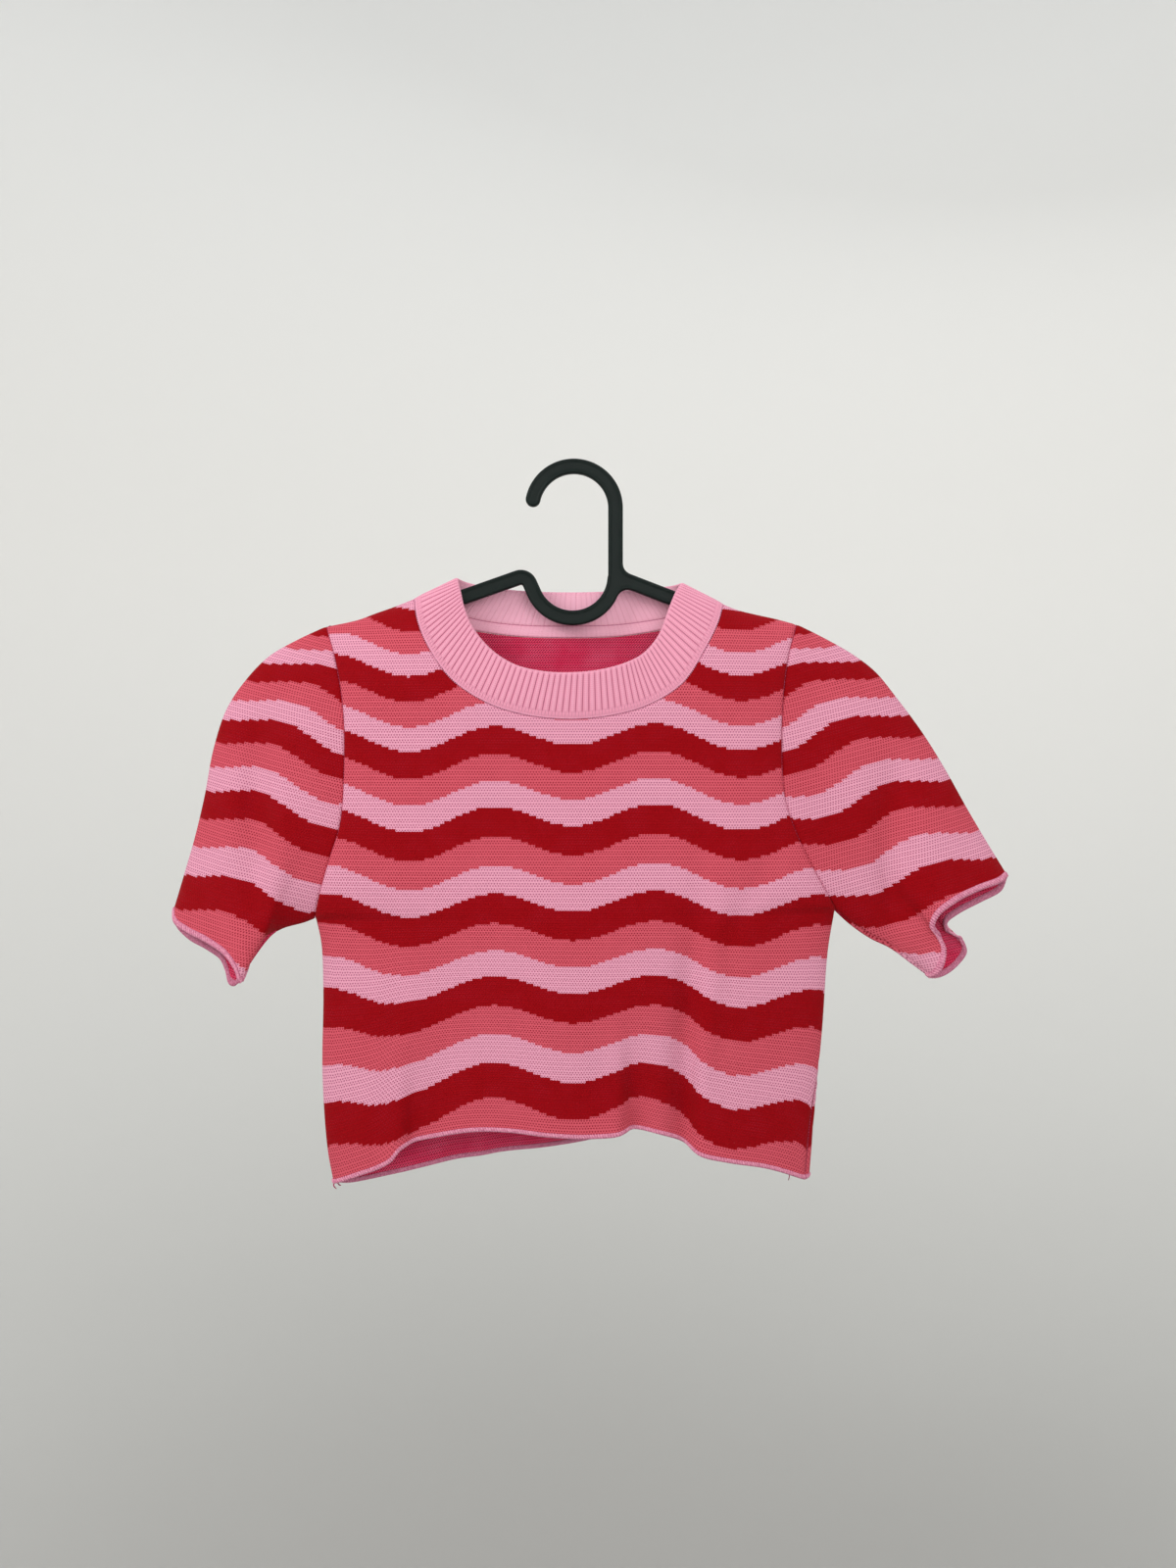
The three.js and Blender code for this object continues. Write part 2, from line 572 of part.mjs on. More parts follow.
// The neckband: its foot follows the neck seam, and its outside is ribbed above the linking strip.
function neckbandGeometry() {
  const rims = [spline(RIM_FRONT), spline(RIM_BACK)];
  const halfWall = (BAND_WALL - RIB_RAISE) / 2;
  const sections = [];
  for (const [half, ribs] of [[0, RIBS_FRONT], [1, RIBS_BACK]]) {
    for (let k = 0; k < 2 * ribs; k += 1) {
      const place = k / (2 * ribs);
      const step = (half + place) * neckSeam.length / 2;
      const near = neckSeam[Math.floor(step)];
      const next = neckSeam[(Math.floor(step) + 1) % neckSeam.length];
      const t = step - Math.floor(step);
      const over = near.over.clone().lerp(next.over, t).normalize();
      const through = near.through.clone().lerp(next.through, t).normalize();
      const foot = near.point.clone().lerp(next.point, t).addScaledVector(over, BAND_LIFT);
      const rim = pointAlong(rims[half], half ? 1 - place : place);
      const height = foot.distanceTo(rim);
      const rib = halfWall + (k % 2) * RIB_RAISE;
      const onSection = (rise, offset) => (
        foot.clone().lerp(rim, rise / height).addScaledVector(through, offset)
      );
      sections.push([
        onSection(0, halfWall),
        onSection(LINKING_STRIP, halfWall),
        onSection(LINKING_STRIP + RIB_SLOPE, rib),
        onSection(height, rib),
        onSection(height, -halfWall),
        onSection(0, -halfWall),
      ]);
    }
  }
  return wallGeometry(sections, true);
}

// The hanger

function arcPoints(centre, radius, from, to, steps) {
  const points = [];
  for (let k = 0; k <= steps; k += 1) {
    const angle = THREE.MathUtils.degToRad(from + (to - from) * k / steps);
    points.push(new THREE.Vector2(centre.x + radius * Math.cos(angle), centre.z + radius * Math.sin(angle)));
  }
  return points;
}

// Outline of a stroke of even width along a centre line, with round ends.
function strokeShape(centreLine) {
  const half = HANGER_WIDTH / 2 - HANGER_BEVEL;
  const sides = [[], []];
  centreLine.forEach((point, k) => {
    const before = centreLine[Math.max(k - 1, 0)];
    const after = centreLine[Math.min(k + 1, centreLine.length - 1)];
    const along = after.clone().sub(before).normalize();
    sides[0].push(new THREE.Vector2(point.x - along.y * half, point.y + along.x * half));
    sides[1].unshift(new THREE.Vector2(point.x + along.y * half, point.y - along.x * half));
  });
  const cap = (tip, inside) => {
    const heading = THREE.MathUtils.radToDeg(Math.atan2(tip.y - inside.y, tip.x - inside.x));
    const round = arcPoints({ x: tip.x, z: tip.y }, half, heading + 90, heading - 90, ROUND_STEPS);
    return round.slice(1, -1);
  };
  const last = centreLine.length - 1;
  const endCap = cap(centreLine[last], centreLine[last - 1]);
  const startCap = cap(centreLine[0], centreLine[1]);
  return new THREE.Shape([...sides[0], ...endCap, ...sides[1], ...startCap]);
}

function strokeSolid(wasm, centreLine) {
  const geometry = new THREE.ExtrudeGeometry(strokeShape(centreLine), {
    depth: HANGER_THICKNESS - 2 * HANGER_BEVEL,
    bevelThickness: HANGER_BEVEL,
    bevelSize: HANGER_BEVEL,
    bevelSegments: BEVEL_STEPS,
    curveSegments: 1,
  });
  geometry.translate(0, 0, -(HANGER_THICKNESS - 2 * HANGER_BEVEL) / 2);
  geometry.rotateX(Math.PI / 2);
  geometry.deleteAttribute('normal');
  geometry.deleteAttribute('uv');
  const merged = mergeVertices(geometry, 1e-4);
  return new wasm.Manifold(new wasm.Mesh({
    numProp: 3,
    vertProperties: new Float32Array(merged.attributes.position.array),
    triVerts: new Uint32Array(merged.index.array),
  }));
}

function hangerLines() {
  const hookCentre = { x: SHANK_X - HOOK_RADIUS, z: HANGER_WIDTH / 2 - HOOK_RADIUS };
  const hook = arcPoints(hookCentre, HOOK_RADIUS, HOOK_START, 0, HOOK_STEPS);
  const shankFoot = new THREE.Vector2(SHANK_X, RIGHT_ARM.startZ);
  const dip = arcPoints(DIP_CENTRE, DIP_RADIUS, DIP_START, DIP_FLARE - 180, DIP_STEPS);
  const flare = THREE.MathUtils.degToRad(DIP_FLARE);
  const flareEnd = dip[dip.length - 1].clone();
  flareEnd.add(new THREE.Vector2(-Math.sin(flare), Math.cos(flare)).multiplyScalar(FLARE_LENGTH));
  const bumpCentre = {
    x: flareEnd.x - BUMP_RADIUS * Math.cos(flare),
    z: flareEnd.y - BUMP_RADIUS * Math.sin(flare),
  };
  const bump = arcPoints(bumpCentre, BUMP_RADIUS, DIP_FLARE, 90 + LEFT_ARM.angle, ROUND_STEPS);
  const armTip = (start, arm) => {
    const drop = Math.abs(arm.tipX - start.x) * Math.tan(THREE.MathUtils.degToRad(arm.angle));
    return new THREE.Vector2(arm.tipX, start.y - drop);
  };
  const leftTip = armTip(bump[bump.length - 1], LEFT_ARM);
  const rightTip = armTip(shankFoot, RIGHT_ARM);
  return [[...hook, shankFoot, ...dip, ...bump, leftTip], [shankFoot, rightTip]];
}

async function hangerGeometry() {
  const wasm = await Module();
  wasm.setup();
  const [main, rightArm] = hangerLines().map((line) => strokeSolid(wasm, line));
  const joined = main.add(rightArm).getMesh();
  const geometry = new THREE.BufferGeometry();
  geometry.setAttribute('position', new THREE.Float32BufferAttribute(joined.vertProperties, 3));
  geometry.setIndex([...joined.triVerts]);
  geometry.computeVertexNormals();
  return geometry;
}

// Assembly

function piece(name, geometry, color, roughness) {
  const material = new THREE.MeshStandardMaterial({ color, roughness, metalness: 0 });
  const mesh = new THREE.Mesh(geometry, material);
  mesh.name = name;
  return mesh;
}

const cropTop = new THREE.Group();
cropTop.add(piece('front_panel', panelGeometry(FRONT, frontPoints), CORAL, CLOTH_ROUGHNESS));
cropTop.add(piece('back_panel', panelGeometry(BACK, backPoints), RED, CLOTH_ROUGHNESS));
cropTop.add(piece('sleeve_left', sleeveGeometry(LEFT_SLEEVE, armholes.left), PINK, CLOTH_ROUGHNESS));
cropTop.add(piece('sleeve_right', sleeveGeometry(RIGHT_SLEEVE, armholes.right), PINK, CLOTH_ROUGHNESS));
cropTop.add(piece('neck_rib', neckbandGeometry(), BAND_PINK, CLOTH_ROUGHNESS));
cropTop.add(piece('hanger', await hangerGeometry(), HANGER_GREEN, PLASTIC_ROUGHNESS));

export default cropTop;
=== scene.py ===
# A knitted crop top with wavy stripes, hanging on a plastic hanger.
# Sizes are in millimetres, in the frame of the CAD model: +X to the viewer's right, +Y away from
# the viewer, +Z up, with the origin at the inner crown of the hanger's hook.
import math

import bmesh
import bpy
import numpy as np
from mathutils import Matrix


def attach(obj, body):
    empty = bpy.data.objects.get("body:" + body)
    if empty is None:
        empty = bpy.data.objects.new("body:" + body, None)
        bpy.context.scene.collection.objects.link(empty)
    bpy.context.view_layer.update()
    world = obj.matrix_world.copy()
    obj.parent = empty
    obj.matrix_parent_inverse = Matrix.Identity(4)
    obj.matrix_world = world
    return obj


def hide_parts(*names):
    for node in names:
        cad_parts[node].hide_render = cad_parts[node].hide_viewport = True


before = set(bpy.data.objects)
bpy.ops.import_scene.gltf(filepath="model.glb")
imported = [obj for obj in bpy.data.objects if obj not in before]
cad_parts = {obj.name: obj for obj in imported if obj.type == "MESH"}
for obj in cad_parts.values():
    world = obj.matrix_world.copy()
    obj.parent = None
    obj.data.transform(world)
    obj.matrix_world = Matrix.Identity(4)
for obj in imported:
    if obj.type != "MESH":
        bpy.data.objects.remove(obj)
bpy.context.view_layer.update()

# Body: a front and a back panel of double-face jacquard knit in acrylic yarn, linked to each other
# along the shoulders and the sides. The cloth hangs from the hanger in a few soft upright folds.

MM = 0.001
CLOTH = 1.8
SEAM_GAP = 0.06
FRONT = {"sign": -1, "depth": 25, "armhole_depth": 14, "shoulder_round": 85}
BACK = {"sign": 1, "depth": 14, "armhole_depth": 11, "shoulder_round": 42}
ARMHOLE_ROUND = 60
SHOULDER_COLUMNS = 30
SHOULDER_EASE = 1.3
SHOULDER_SPREAD = 0.6
NECK_COLUMNS = 100
ARMHOLE_ROWS = 90
ARMHOLE_EASE = 0.8
SIDE_ROWS = 84
SPLINE_STEPS = 24

SHOULDER_LEFT = [(-180.7, -112.7), (-168, -110.4), (-156.2, -107.6), (-144.7, -103.3), (-130.3, -98.3),
                 (-115.9, -92.5)]
SHOULDER_RIGHT = [(109.4, -96.5), (120.2, -100.8), (131.8, -103.7), (148, -107.2), (163.4, -111.2)]
NECK_FRONT = [(-115.9, -92.5), (-112.9, -108.5), (-105.9, -126.1), (-87.7, -152.3), (-61.6, -169.9),
              (-34.3, -178.5), (-3.2, -181.6), (28.3, -178.8), (55.1, -170.9), (78.6, -155.8),
              (95.5, -130.2), (105.2, -110.6), (109.4, -96.5)]
NECK_BACK = [(-115.9, -92.5), (-108, -101.2), (-94.7, -107.8), (-73.1, -114), (-40.4, -118.3),
             (-3.8, -119.3), (32.7, -118.3), (69.1, -112.9), (89.4, -107.7), (102, -102.6),
             (109.4, -96.5)]
ARMHOLE_LEFT = [(-180.7, -112.7), (-172.3, -138.8), (-166.2, -175), (-165.4, -215), (-168.4, -257),
                (-175.5, -280), (-182.3, -302.2), (-188.6, -325.1)]
ARMHOLE_RIGHT = [(163.4, -111.2), (156.2, -135.3), (151.5, -170), (150.9, -211.6), (153.2, -238.5),
                 (160.8, -262), (174.3, -290), (191.5, -319.3)]
SIDE_LEFT = [(-188.6, -325.1), (-184.4, -345), (-183, -380), (-183.6, -440), (-180, -494.3),
             (-175.4, -520)]
SIDE_RIGHT = [(191.5, -319.3), (186.4, -350), (182.2, -407.9), (176.4, -468.4), (172.4, -516)]
HEM_FRONT = [(-175.4, -520), (-155.8, -511.5), (-140, -505), (-131, -499.5), (-124, -491),
             (-102.9, -483.3), (-74.2, -476.5), (-45.5, -475.8), (-17.2, -478.6), (10.8, -480.4),
             (30, -479.5), (42, -477), (61.9, -478.8), (77.2, -485), (90.8, -494), (112, -499.5),
             (137.3, -504.3), (158.3, -510.5), (172.4, -516)]
HEM_BACK = [(-175.4, -520), (-166, -521.5), (-135.5, -516.9), (-106.1, -510.7), (-76.7, -503.5),
            (-47.6, -500.4), (-18.5, -498.3), (10.8, -493.5), (40, -484), (76.5, -486.5),
            (113.2, -499), (149.5, -509.5), (172.4, -516)]

def spline(rows):
    """Centripetal Catmull-Rom line through the rows."""
    knots = np.array(rows, float)
    knots = np.vstack([2 * knots[0] - knots[1], knots, 2 * knots[-1] - knots[-2]])
    line = []
    for k in range(1, len(knots) - 2):
        a, b, c, d = knots[k - 1:k + 3]
        before, span, after = (np.linalg.norm(q - p) ** 0.5 for p, q in ((a, b), (b, c), (c, d)))
        leave = ((b - a) / before - (c - a) / (before + span) + (c - b) / span) * span
        arrive = ((c - b) / span - (d - b) / (span + after) + (d - c) / after) * span
        for t in np.arange(SPLINE_STEPS) / SPLINE_STEPS:
            cubic = (2 * b - 2 * c + leave + arrive) * t ** 3
            line.append(b + leave * t + (3 * c - 3 * b - 2 * leave - arrive) * t ** 2 + cubic)
    line.append(knots[-2])
    return np.array(line)


def at_x(line, x):
    return np.interp(x, line[:, 0], line[:, 1])


def at_z(line, z):
    return np.interp(-np.asarray(z), -line[:, 1], line[:, 0])


def smooth(t):
    t = np.clip(t, 0, 1)
    return t * t * (3 - 2 * t)


def round_in(t):
    return np.sqrt(1 - (1 - np.clip(t, 0, 1)) ** 2)


def unit(vectors):
    return vectors / np.maximum(np.linalg.norm(vectors, axis=-1, keepdims=True), 1e-9)


TIPS = (SHOULDER_LEFT[0][0], SHOULDER_RIGHT[-1][0])
NECKS = (SHOULDER_LEFT[-1][0], SHOULDER_RIGHT[0][0])
shoulder_line = np.vstack([spline(SHOULDER_LEFT), spline(SHOULDER_RIGHT)])
sides = {-1: spline(SIDE_LEFT), 1: spline(SIDE_RIGHT)}
armhole_lines = {-1: spline(ARMHOLE_LEFT), 1: spline(ARMHOLE_RIGHT)}


def panel_columns():
    """Each column's x on the shoulder and neck line, and its share of the hem's width."""
    shares = [SHOULDER_SPREAD * (NECKS[k] - TIPS[k]) / (TIPS[1] - TIPS[0]) for k in (0, 1)]
    outer = (np.arange(SHOULDER_COLUMNS) / SHOULDER_COLUMNS) ** SHOULDER_EASE
    even = np.linspace(0, 1, NECK_COLUMNS + 1)
    turned = (1 - np.cos(np.pi * even)) / 2
    x_neck = NECKS[0] + (NECKS[1] - NECKS[0]) * turned
    hem_neck = shares[0] + (1 + shares[1] - shares[0]) * (even + turned) / 2
    x_sides = [TIPS[k] + (NECKS[k] - TIPS[k]) * outer for k in (0, 1)]
    hem_sides = [k + shares[k] * outer for k in (0, 1)]
    return (np.concatenate([x_sides[0], x_neck, x_sides[1][::-1]]),
            np.concatenate([hem_sides[0], hem_neck, hem_sides[1][::-1]]))


def edge_rows(side):
    """Points down the edge of a panel: the armhole, then the side seam."""
    armhole, seam = armhole_lines[side], sides[side]
    even = np.linspace(0, 1, ARMHOLE_ROWS + 1)
    fraction = even + ((1 - np.cos(np.pi * even)) / 2 - even) * ARMHOLE_EASE
    z_armhole = armhole[0, 1] + (armhole[-1, 1] - armhole[0, 1]) * fraction
    z_side = seam[0, 1] + (seam[-1, 1] - seam[0, 1]) * np.arange(1, SIDE_ROWS + 1) / SIDE_ROWS
    return np.vstack([np.column_stack([at_z(armhole, z_armhole), z_armhole]),
                      np.column_stack([at_z(seam, z_side), z_side])])


column_x, column_share = panel_columns()
edges = {side: edge_rows(side) for side in (-1, 1)}


# Hanging folds: x at the hem, lean, height where the fold starts, widths to its left and its right,
# and depth at the hem
FRONT_FOLDS = [(-116, 0.02, -400, 7, 20, 13), (44, -0.03, -370, 5.5, 16, 15), (82, 0.02, -310, 14, 5.5, 12),
               (-20, 0, -300, 30, 30, -3)]
BACK_FOLDS = [(-70, 0.02, -380, 17, 12, 6), (66, -0.02, -360, 12, 18, 5), (0, 0, -300, 28, 28, -3)]

# The lower right side seam is pulled round to the front: how far, from where across the panel (-1 to
# 1), and over what height
SEAM_PULL = 3.4
SEAM_PULL_FROM = 0.8
SEAM_PULL_TOP = -425
SEAM_PULL_LENGTH = 60

# Soft creases over the folds: x, z, slope of the crease, half length, half width and depth
FRONT_CREASES = [(82, -385, 0.08, 90, 9, 3.0), (100, -372, 0.1, 80, 8, -2.2),
                 (-92, -420, -0.1, 70, 14, 2.0), (132, -300, 0.5, 55, 11, 1.6),
                 (-140, -320, -0.5, 60, 12, 1.4), (20, -440, 0.05, 50, 12, 1.2),
                 (-50, -250, 0.2, 60, 22, 1.0), (60, -240, -0.25, 60, 24, 1.0),
                 (-150, -470, 0.1, 40, 9, -1.2)]
BACK_CREASES = [(-40, -400, 0.06, 90, 12, 1.8), (88, -380, -0.1, 80, 11, 1.6),
                (-120, -330, 0.45, 60, 12, 1.5), (130, -310, -0.5, 60, 12, 1.5),
                (20, -250, 0.1, 70, 24, 1.2), (-100, -450, 0.05, 60, 14, -1.4)]
CREASE_FADE = 60


def fold_depth(folds, x, z):
    hem = HEM_FRONT[0][1]
    depth = 0
    for centre, lean, top, left, right, deep in folds:
        ramp = smooth((top - z) / (top - hem))
        from_centre = x - centre - lean * (z - hem)
        depth = depth + ramp * deep * np.exp(-(from_centre / np.where(from_centre < 0, left, right)) ** 2)
    return depth


def crease_depth(creases, x, z):
    depth = 0
    for centre_x, centre_z, slope, length, width, deep in creases:
        along = (z - centre_z) / length
        across = (x - centre_x - slope * (z - centre_z)) / width
        depth = depth + deep * np.exp(-along ** 2 - across ** 2)
    return depth


def seam_shift(x, z, left, right):
    """How far the lower right side seam is pulled round to the front."""
    near = smooth((2 * (x - left) / (right - left) - 1 - SEAM_PULL_FROM) / (1 - SEAM_PULL_FROM))
    return SEAM_PULL * smooth((SEAM_PULL_TOP - z) / SEAM_PULL_LENGTH) * near


def panel_points(panel, neck_rows, hem_rows, folds, creases):
    """Middle surface of a panel: a patch between its shoulder and neck line, its edges and its hem."""
    neck, hem = spline(neck_rows), spline(hem_rows)
    first, last = SHOULDER_COLUMNS, SHOULDER_COLUMNS + NECK_COLUMNS
    top_z = at_x(shoulder_line, column_x)
    top_z[first:last + 1] = at_x(neck, column_x[first:last + 1])
    hem_x = hem[0, 0] + (hem[-1, 0] - hem[0, 0]) * column_share
    top = np.column_stack([column_x, top_z])
    bottom = np.column_stack([hem_x, at_x(hem, hem_x)])
    left, right = edges[-1], edges[1]
    down = sum((edge[:, 1] - edge[0, 1]) / (edge[-1, 1] - edge[0, 1]) for edge in (left, right)) / 2

    def patch(axis, weight):
        error = [edge[:, axis] - edge[0, axis] - (edge[-1, axis] - edge[0, axis]) * weight
                 for edge in (left, right)]
        between = top[:, axis] + (bottom[:, axis] - top[:, axis]) * weight[:, None]
        return between + error[0][:, None] * (1 - column_share) + error[1][:, None] * column_share

    x, z = patch(0, down ** 0.5), patch(1, down)
    x = x + panel["sign"] * seam_shift(x, z, left[:, :1], right[:, :1])
    sign = np.where(x > right[:, :1], -panel["sign"], panel["sign"])
    x = np.minimum(x, 2 * right[:, :1] - x)
    across = 2 * (x - left[:, :1]) / (right[:, :1] - left[:, :1]) - 1
    lens = np.sqrt(1 - np.minimum(np.abs(across), 1) ** 2)
    underarm = sides[-1][0, 1] + (sides[1][0, 1] - sides[-1][0, 1]) * (across + 1) / 2
    edge_depth = panel["armhole_depth"] * round_in((z - underarm) / ARMHOLE_ROUND)
    shoulder = round_in((at_x(shoulder_line, x) - z) / panel["shoulder_round"])
    depth = np.where(sign < 0, FRONT["depth"], BACK["depth"])
    stand = shoulder * (depth * lens + edge_depth * (1 - lens))
    inside = smooth((at_x(shoulder_line, x) - z) / CREASE_FADE) * (1 - across ** 4)
    stand = stand - fold_depth(folds, x, z) * (1 - across ** 4) - crease_depth(creases, x, z) * inside
    return np.stack([x, sign * np.maximum(stand, 0), z], axis=-1)


def seam_loop(points, over, outward):
    """At each point of a seam: the way across it, and the way through the cloth's thickness."""
    along = unit(np.roll(points, -1, axis=0) - np.roll(points, 1, axis=0))
    over = unit(over - along * (over * along).sum(axis=1, keepdims=True))
    return {"points": points, "over": over, "through": unit(np.cross(along, over)) * outward, "along": along}


front_points = panel_points(FRONT, NECK_FRONT, HEM_FRONT, FRONT_FOLDS, FRONT_CREASES)
back_points = panel_points(BACK, NECK_BACK, HEM_BACK, BACK_FOLDS, BACK_CREASES)


# How steeply the way across the armhole seam falls at the top, and what is added further down
ARMHOLE_RISE = {"top": -0.45, "middle": 0.3, "underarm": 0.95}


def armhole_loop(side):
    """From the shoulder down the front to the underarm and up the back."""
    column = 0 if side < 0 else -1
    points = np.vstack([front_points[:ARMHOLE_ROWS, column], back_points[ARMHOLE_ROWS:0:-1, column]])
    down = (points[0, 2] - points[:, 2]) / (points[0, 2] - points[ARMHOLE_ROWS, 2])
    rise = ARMHOLE_RISE["top"] + ARMHOLE_RISE["middle"] * down + ARMHOLE_RISE["underarm"] * down ** 6
    over = np.column_stack([np.full(len(points), side), np.zeros(len(points)), rise])
    return seam_loop(points, over, side)


RIM_FRONT = [(-85, 0, -77.4), (-82.3, -6, -87.6), (-78.9, -11, -100.5), (-71.3, -16, -116.8),
             (-58.1, -20, -132.2), (-41.1, -23, -142.9), (-20.7, -25, -147.8), (-0.4, -25.5, -148.6),
             (19.9, -25, -146.5), (38.8, -23, -141), (50.9, -20, -134.1), (61.7, -16, -121),
             (69.2, -11, -101.9), (74.5, -6, -89), (79.2, 0, -81)]
RIM_BACK = [(-85, 0, -77.4), (-79.5, 6, -79), (-61.9, 10, -82.2), (-33, 12, -84.8), (-1.6, 12.5, -85.5),
            (29, 12, -84.8), (55.9, 10, -83), (73.4, 6, -81.6), (79.2, 0, -81)]


def along_line(line, share):
    """The point at a share of the line's own steps."""
    place = np.asarray(share) * (len(line) - 1)
    return np.stack([np.interp(place, np.arange(len(line)), line[:, axis]) for axis in range(3)], axis=-1)


def neck_loop():
    """From the left shoulder along the front to the right one, and back behind."""
    first, last = SHOULDER_COLUMNS, SHOULDER_COLUMNS + NECK_COLUMNS
    points = np.vstack([front_points[0, first:last], back_points[0, last:first:-1]])
    share = np.arange(NECK_COLUMNS) / NECK_COLUMNS
    rims = np.vstack([along_line(spline(RIM_FRONT), share), along_line(spline(RIM_BACK), 1 - share)])
    return seam_loop(points, rims - points, 1)


armholes = {side: armhole_loop(side) for side in (-1, 1)}
neck_seam = neck_loop()


def normals(points, ring):
    """Normals of a grid of rows and columns."""
    if ring:
        across = np.roll(points, -1, axis=1) - np.roll(points, 1, axis=1)
    else:
        across = np.gradient(points, axis=1)
    return unit(np.cross(across, np.gradient(points, axis=0)))


def steps(points, axes):
    """Lengths of the steps down the columns of a grid, seen along the given axes only."""
    return np.linalg.norm(np.diff(points[..., axes], axis=0), axis=-1)


def mesh_object(name, vertices, faces, grain=None, face_slots=None, materials=(), sharp=72):
    """A smooth mesh in metres, turned so that its faces point outwards."""
    vertices = np.asarray(vertices, float) * MM
    first = np.array([face[:3] for face in faces])
    corners = vertices[first]
    volume = np.einsum("ij,ij->i", corners[:, 0], np.cross(corners[:, 1], corners[:, 2])).sum()
    if faces and len(faces[0]) == 4:
        second = vertices[np.array([[face[0], face[2], face[3]] for face in faces if len(face) == 4])]
        volume += np.einsum("ij,ij->i", second[:, 0], np.cross(second[:, 1], second[:, 2])).sum()
    if volume < 0:
        faces = [tuple(reversed(face)) for face in faces]
    mesh = bpy.data.meshes.new(name)
    mesh.from_pydata(vertices.tolist(), [], [tuple(map(int, face)) for face in faces])
    for material in materials:
        mesh.materials.append(material)
    if face_slots is not None:
        mesh.polygons.foreach_set("material_index", np.asarray(face_slots, np.int32))
    if grain is not None:
        mesh.attributes.new("grain", "FLOAT_VECTOR", "POINT").data.foreach_set("vector", np.ravel(grain))
    mesh.polygons.foreach_set("use_smooth", [True] * len(mesh.polygons))
    mesh.update()
    mesh.set_sharp_from_angle(angle=math.radians(sharp))
    made = bpy.data.objects.new(name, mesh)
    bpy.context.collection.objects.link(made)
    return made


def ring_faces(rings, points, closed=False, along_ring=False):
    """Faces between rings of points, each ring joined to the next. A face's second corner is on the
    next ring, or along the same ring."""
    i, j = np.meshgrid(np.arange(rings if closed else rings - 1), np.arange(points), indexing="ij")
    here, after = (i * points + j).ravel(), ((i + 1) % rings * points + j).ravel()
    turned = ((j + 1) % points - j).ravel()
    corners = [here, after, after + turned, here + turned]
    if along_ring:
        corners = [here, here + turned, after + turned, after]
    return [tuple(face) for face in np.column_stack(corners)]


def cloth_shell(name, outer, inner, grain, ring, materials):
    """Closed cloth wall between two grids of points: outer face, inner face and edges."""
    rows, cols = outer.shape[:2]
    size = rows * cols
    wrap = cols if ring else cols - 1
    j, i = np.meshgrid(np.arange(rows - 1), np.arange(wrap), indexing="ij")
    here, right = (j * cols + i).ravel(), (j * cols + (i + 1) % cols).ravel()
    face = np.column_stack([here, right, right + cols, here + cols])
    faces = [face, face[:, ::-1] + size]
    slots = [0] * len(face) + [1] * len(face)
    i = np.arange(wrap)
    for row in (0, (rows - 1) * cols):
        a, b = row + i, row + (i + 1) % cols
        rim = np.column_stack([a, a + size, b + size, b])
        faces.append(rim if row == 0 else rim[:, ::-1])
        slots += [2] * len(rim)
    if not ring:
        j = np.arange(rows - 1) * cols
        for col in (0, cols - 1):
            a, b = j + col, j + cols + col
            rim = np.column_stack([a, b, b + size, a + size])
            faces.append(rim if col == 0 else rim[:, ::-1])
            slots += [2] * len(rim)
    faces = [tuple(face) for face in np.vstack(faces)]
    vertices = np.vstack([outer.reshape(-1, 3), inner.reshape(-1, 3)])
    return mesh_object(name, vertices, faces, np.vstack([grain.reshape(-1, 3)] * 2), slots, materials)


# Knit: the size of a stitch, and its colours
STITCH_WIDTH = 2.0
STITCH_HEIGHT = 1.9
LOOP_BEND = 0.5
PINK = "#EDA4BC"
PINK_GAP = "#B05878"
CORAL = "#D95A6A"
CORAL_GAP = "#920E26"
RED = "#98000C"
RED_GAP = "#C42C48"
BACKING = "#D81C4C"
BACKING_HOLE = "#860622"
BACKING_LOOP = "#F07A9C"

# Wavy stripes of three colours, narrow at the top and wider below: where they start and end, the
# height of three stripes there, the share of three stripes passed at the end, and the waves' sizes. A
# slower, lower wave makes them uneven.
SLOW_WAVE = {"turns": 0.41, "phase": 1.1, "share": 0.3}
BODY_STRIPES = {"start": 100, "end": 505, "first": 50, "last": 88, "end_share": 0.89,
                "wave_length": 118, "wave_height": 8}


def linear(colour):
    """Hex sRGB colour to linear RGBA."""
    channels = [int(colour[k:k + 2], 16) / 255 for k in (1, 3, 5)]
    return [c / 12.92 if c <= 0.04045 else ((c + 0.055) / 1.055) ** 2.4 for c in channels] + [1]


def node(tree, kind, inputs=None, **settings):
    """Adds a node with its settings. Its inputs take values, other nodes or their sockets."""
    made = tree.nodes.new(kind)
    for name, value in settings.items():
        setattr(made, name, value)
    for socket, source in (inputs or {}).items():
        source = source.outputs[0] if isinstance(source, bpy.types.Node) else source
        if isinstance(source, bpy.types.NodeSocket):
            tree.links.new(source, made.inputs[socket])
        else:
            made.inputs[socket].default_value = source
    return made


def stops(ramp, colours, interpolation="CONSTANT"):
    """Sets a colour ramp's stops from pairs of position and linear colour."""
    ramp.color_ramp.interpolation = interpolation
    elements = ramp.color_ramp.elements
    while len(elements) < len(colours):
        elements.new(0.5)
    for element, (position, colour) in zip(elements, colours):
        element.position = position
        element.color = colour


def yarn_material(name, roughness=0.85, sheen=0.03):
    """An empty yarn finish: matt, with the soft bloom of fine fibres."""
    material = bpy.data.materials.new(name)
    material.use_nodes = True
    tree = material.node_tree
    shader = tree.nodes["Principled BSDF"]
    shader.inputs["Roughness"].default_value = roughness
    shader.inputs["Specular IOR Level"].default_value = 0.1
    shader.inputs["Sheen Weight"].default_value = sheen
    shader.inputs["Sheen Roughness"].default_value = 0.45
    shader.inputs["Sheen Tint"].default_value = linear("#FFE4EC")
    return material, tree, shader


